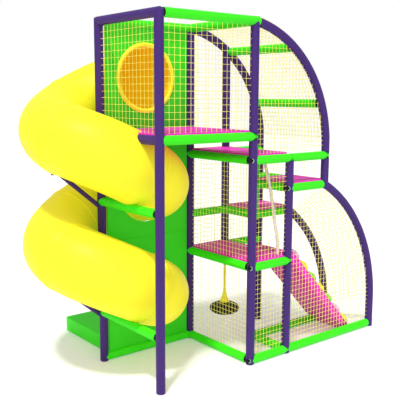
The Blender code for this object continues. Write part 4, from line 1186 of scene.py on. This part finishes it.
class MAZE_OT_swing(bpy.types.Operator):
    """Disc swing: rope, cone and disc on their steel link"""
    bl_idname = "maze.swing"
    bl_label = "Swing"

    def execute(self, context):
        for node in ("swing_bracket", "swing_link"):
            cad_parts[node].data.materials.clear()
            slotted(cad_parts[node], "zinc steel")
        dress(rope(), "swing_rope", "net_cord", "rope cord", body="swing_rope", angle=60)
        cone = turned("cone", SWING_X, SWING_Y, [(DISC_Z + CONE_H * t, r) for t, r in CONE])
        dress(cone, "swing_cone", "yellow_plastic", "mustard plastic", body="swing_seat", angle=60)
        angles = [math.radians(d) for d in range(DISC_FLAT, 181 - DISC_FLAT, 6)]
        disc = turned("disc", SWING_X, SWING_Y,
                      [(DISC_MID - DISC_T / 2 * math.cos(a), DISC_R * math.sin(a)) for a in angles], 64)
        dress(disc, "swing_disc", "black_vinyl", "black vinyl", body="swing_seat", angle=50)
        return {"FINISHED"}


class MAZE_OT_pole(bpy.types.Operator):
    """Bent grab pole between the landing and the high step"""
    bl_idname = "maze.pole"
    bl_label = "Grab pole"

    def execute(self, context):
        line = ((0.085, RAMP_Z + SEAT), (0.085, 1.30), (0.125, 1.45), (0.160, 1.62), (0.200, 1.80),
                (0.255, 2.00), (0.300, 2.12), (0.312, Z_STEP_HIGH + SLEEVE_R - BOARD_DEEP))
        path = []
        for i, (y, z) in enumerate(line):
            y0, z0 = line[max(i - 1, 0)]
            y1, z1 = line[min(i + 1, len(line) - 1)]
            pitch = math.pi / 2 if i in (0, len(line) - 1) else math.atan2(z1 - z0, y1 - y0)
            path.append((at(1.680, y, z), math.pi / 2, pitch, 0.019))
        dress(sweep("pole", path, 24), "grab_pole", "pale_plastic", "pale plastic", angle=60)
        return {"FINISHED"}


# Nets

PAD_RISE = 0.016          # a net over a deck starts this much higher, on its pad
TAIL_MESH = 0.068         # side of a square where the roof net hangs down
BACK_GAP = 0.0052         # room between the back posts and the net behind them
LIFT, HANG = 0.052, 0.345     # the roof net lies this far over the arches, and hangs this far past them


def corded(piece, border=False):
    """Keep the edges of a net's sheet, turn them into round cord and set a knot on every crossing.
    Without a border the strands end on the sleeves that the net is laced to."""
    cord = bpy.context.scene.maze_nets.cord
    edit(piece)
    if not border:
        pick(piece, "EDGE", lambda e: e.is_boundary)
        bpy.ops.mesh.delete(type="EDGE")
    bpy.ops.mesh.select_all(action="SELECT")
    bpy.ops.mesh.delete(type="ONLY_FACE")
    crossings = [v.co.copy() for v in bmesh.from_edit_mesh(piece.data).verts if len(v.link_edges) > 2]
    done()
    deselect()
    bpy.ops.mesh.primitive_ico_sphere_add(subdivisions=1, radius=cord * 0.86)
    knot = fresh("knot")
    knots = join("knots", [copied(knot, place) for place in crossings])
    remove(knot)
    activate(piece)
    bpy.ops.object.convert(target="CURVE")
    piece.data.bevel_depth = cord / 2
    piece.data.bevel_resolution = 1
    bpy.ops.object.convert(target="MESH")
    return join(piece.name, [piece, knots])


def flat_net(name, corner, way, length, height, outline=(), mesh=None, core=None, border=False):
    """Upright net of square meshes, cut to a convex outline and round the slide's core."""
    mesh = mesh or bpy.context.scene.maze_nets.mesh
    deselect()
    bpy.ops.mesh.primitive_grid_add(x_subdivisions=round(length / mesh), y_subdivisions=round(height / mesh),
                                    size=1, location=corner + way * length / 2 + Z_WAY * height / 2,
                                    rotation=(math.pi / 2, 0, math.atan2(way.y, way.x)))
    piece = fresh(name, (length, height, 1))
    edit(piece)
    for point, normal in outline:
        bisect(point, normal, clear_outer=True)
    done()
    if core:
        carve(piece, core)
    return corded(piece, border)


def arch_outline(arch, y, inset, count=20):
    """Cutting planes along the underside of an arch."""
    planes = []
    for i in range(count + 1):
        angle = arch.start * (1 - i / count)
        normal = Vector((math.cos(angle), 0, math.sin(angle)))
        q = arch.point(angle) - normal * inset
        planes.append((at(q.x, y, q.z), normal))
    return planes


class MAZE_OT_nets(bpy.types.Operator):
    """Upright nets between posts, beams and arches"""
    bl_idname = "maze.nets"
    bl_label = "Nets"

    def execute(self, context):
        r = context.scene.maze_sleeves.radius
        for name, x, way, length, z0, z1 in (
                ("net_tower_front", 0, X_WAY, BAY, Z_TOWER + PAD_RISE, Z_TOP),
                ("net_side_low", BAY, Y_WAY, DEPTH, Z_GROUND, Z_LANDING),
                ("net_side_high", BAY, Y_WAY, DEPTH, Z_LANDING + PAD_RISE, Z_STEP_HIGH),
                ("net_front_low", BAY, X_WAY, X_STEP - BAY, Z_GROUND, Z_LANDING),
                ("net_front_high", BAY, X_WAY, X_STEP - BAY, Z_LANDING + PAD_RISE, Z_STEP_HIGH),
                ("net_tower_left", 0, Y_WAY, DEPTH, Z_TOWER + PAD_RISE, Z_TOP)):
            net = flat_net("mesh_" + name, at(x, 0, z0 + r) + way * r, way, length - 2 * r, z1 - z0 - 2 * r,
                           mesh=context.scene.maze_nets.tower_mesh if "tower" in name else None,
                           core=slide_core(NET_ROOM) if name == "net_tower_left" else None)
            dress(net, name, "net_cord", "net cord", angle=60)
        back = DEPTH + r + BACK_GAP
        for name, arch, y, x0, z0, z1, inset in (
                ("net_arch_front", UPPER, 0, BAY + r, Z_STEP_HIGH + PAD_RISE + r, Z_TOP, r),
                ("net_back", UPPER, back, BAY, Z_LANDING + 0.02, Z_TOP, 0.02),
                ("net_ramp_front", LOWER_FRONT, 0, X_STEP + r, Z_GROUND + r, Z_STEP_LOW, r)):
            net = flat_net("mesh_" + name, at(x0, y, z0), X_WAY, arch.foot - inset - x0, z1 - inset - z0,
                           arch_outline(arch, y, inset), border=name == "net_back")
            dress(net, name, "net_cord", "net cord", angle=60)
        return {"FINISHED"}


def arc_line(arch, y, lift, tail, count):
    """Open line of points along an arch, lifted off it, with a straight tail below."""
    deselect()
    bpy.ops.mesh.primitive_circle_add(vertices=4, radius=0.01)
    line = fresh("arc")
    edit(line)
    pick(line, "VERT", lambda v: v.index > 0)
    bpy.ops.mesh.delete(type="VERT")
    done()
    line.data.vertices[0].co = at(arch.x + arch.radius + lift, y, arch.z)
    edit(line)
    for _ in range(count):
        bpy.ops.mesh.extrude_region_move(TRANSFORM_OT_translate={"value": (0, 0, 0)})
        turn(-arch.start / count, "Y", at(arch.x, y, arch.z))
    steps = round(tail / TAIL_MESH)
    if steps:
        pick(line, "VERT", lambda v: abs(v.co.z - arch.z) < 1e-4)
        for _ in range(steps):
            bpy.ops.mesh.extrude_region_move(TRANSFORM_OT_translate={"value": (0, 0, -tail / steps)})
    done()
    return line


class MAZE_OT_roof_nets(bpy.types.Operator):
    """Nets that run over the arches from front to back"""
    bl_idname = "maze.roof_nets"
    bl_label = "Roof nets"

    def execute(self, context):
        mesh = context.scene.maze_nets.mesh
        for name, front, rear, y0, y1, lift, tail in (
                ("net_arch_roof", UPPER, UPPER, 0.0, DEPTH, LIFT, HANG),
                ("net_ramp_roof", LOWER_FRONT, LOWER_REAR, SLEEVE_R, HALF - SLEEVE_R, 0.0, 0.0)):
            count = round(front.radius * front.start / mesh)
            net = join("mesh_" + name, [arc_line(front, y0, lift, tail, count),
                                        arc_line(rear, y1, lift, tail, count)])
            edit(net)
            bpy.ops.mesh.select_mode(type="EDGE")
            bpy.ops.mesh.select_all(action="SELECT")
            bpy.ops.mesh.bridge_edge_loops(number_cuts=max(1, round((y1 - y0) / mesh) - 1),
                                           interpolation="LINEAR")
            done()
            net = corded(net, name == "net_arch_roof")
            dress(net, name, "net_cord", "net cord", angle=60)
        return {"FINISHED"}


# Stage

FLOOR_GLOW, MIRROR_GLOW = 0.04, 0.14      # light that the floor adds, and more of it in reflections
LENS, YAW, TILT, ROLL = 60.95, 0.8936, -0.1541, -0.0039
EYE = Vector((-4.9204, -6.2574, 2.9226))


def lay_floor():
    """White floor that keeps the maze's shadow."""
    deselect()
    bpy.ops.mesh.primitive_plane_add(size=60, location=(0, 0, -0.0005))
    floor = fresh("floor")
    paint = Finish("white floor", 0.9, Base_Color=(0.86, 0.86, 0.86, 1), Emission_Color=(1, 1, 1, 1))
    rays = paint.node("LightPath")
    mirrored = Value(paint, rays.socket.node.outputs["Is Glossy Ray"])
    glow = rays.math("MAXIMUM", mirrored) * MIRROR_GLOW + FLOOR_GLOW
    paint.tree.links.new(glow.socket, paint.shader.inputs["Emission Strength"])
    floor.data.materials.append(paint.material)


def light_sky(scene, strength):
    """Soft light all round, with a white backdrop."""
    scene.world = bpy.data.worlds.new("studio")
    scene.world.use_nodes = True
    tree = scene.world.node_tree
    back = tree.nodes["Background"]
    back.inputs["Color"].default_value = (1, 1, 1, 1)
    path = tree.nodes.new("ShaderNodeLightPath")
    level = tree.nodes.new("ShaderNodeMapRange")
    level.inputs["To Min"].default_value = strength
    level.inputs["To Max"].default_value = 1.0
    tree.links.new(path.outputs["Is Camera Ray"], level.inputs["Value"])
    tree.links.new(level.outputs["Result"], back.inputs["Strength"])


def hang_light(name, way, strength, spread):
    """Far lamp that shines one way, softer the more degrees it spreads."""
    deselect()
    bpy.ops.object.light_add(type="SUN", location=(0, 0, 6),
                             rotation=Vector(way).to_track_quat("-Z", "Y").to_euler())
    lamp = bpy.context.object
    lamp.name = name
    lamp.data.energy = strength
    lamp.data.angle = math.radians(spread)


def set_camera(scene):
    """Camera at the photo's angle."""
    camera = bpy.data.objects.new("camera", bpy.data.cameras.new("camera"))
    scene.collection.objects.link(camera)
    camera.data.lens, camera.data.sensor_width = LENS, 36.0
    camera.data.clip_end = 200
    forward = Vector((math.cos(TILT) * math.cos(YAW), math.cos(TILT) * math.sin(YAW), math.sin(TILT)))
    right = forward.cross(Z_WAY).normalized()
    up = right.cross(forward)
    rolled = Matrix.Rotation(ROLL, 3, forward)
    stand = Matrix((rolled @ right, rolled @ up, -forward)).transposed().to_4x4()
    stand.translation = EYE
    camera.matrix_world = stand
    scene.camera = camera


class MAZE_OT_stage(bpy.types.Operator):
    """White floor, soft lights and the camera"""
    bl_idname = "maze.stage"
    bl_label = "Stage"

    def execute(self, context):
        scene = context.scene
        scene.view_settings.view_transform = "Standard"
        lay_floor()
        light_sky(scene, scene.maze_stage.sky)
        hang_light("key_light", (0.377, 0.262, -1.0), scene.maze_stage.sun, 6)
        hang_light("fill_light", (0.50, 0.84, -0.30), scene.maze_stage.fill, 70)
        set_camera(scene)
        return {"FINISHED"}


class MAZE_PT_panel(bpy.types.Panel):
    """The maze's pieces, in the order they are made"""
    bl_idname = "MAZE_PT_panel"
    bl_label = "Play maze"
    bl_space_type = "VIEW_3D"
    bl_region_type = "UI"
    bl_category = "Maze"

    def draw(self, context):
        for operator in OPERATORS:
            self.layout.operator(operator.bl_idname)


GROUPS = {"maze_sleeves": MazeSleeves, "maze_slide": MazeSlide, "maze_boards": MazeBoards,
          "maze_pads": MazePads, "maze_nets": MazeNets, "maze_holds": MazeHolds, "maze_stage": MazeStage}
OPERATORS = (MAZE_OT_stage, MAZE_OT_posts, MAZE_OT_arches, MAZE_OT_beams, MAZE_OT_slide, MAZE_OT_mouth,
             MAZE_OT_slide_rests, MAZE_OT_panels, MAZE_OT_decks, MAZE_OT_ramp, MAZE_OT_holds, MAZE_OT_mat,
             MAZE_OT_swing, MAZE_OT_pole, MAZE_OT_nets, MAZE_OT_roof_nets)


def register():
    for cls in (*GROUPS.values(), *OPERATORS, MAZE_PT_panel):
        bpy.utils.register_class(cls)
    for name, cls in GROUPS.items():
        setattr(bpy.types.Scene, name, bpy.props.PointerProperty(type=cls))


def unregister():
    for name in GROUPS:
        delattr(bpy.types.Scene, name)
    for cls in reversed((*GROUPS.values(), *OPERATORS, MAZE_PT_panel)):
        bpy.utils.unregister_class(cls)


def main():
    register()
    for operator in OPERATORS:
        getattr(bpy.ops.maze, operator.bl_idname.removeprefix("maze."))()


if __name__ == "__main__":
    main()
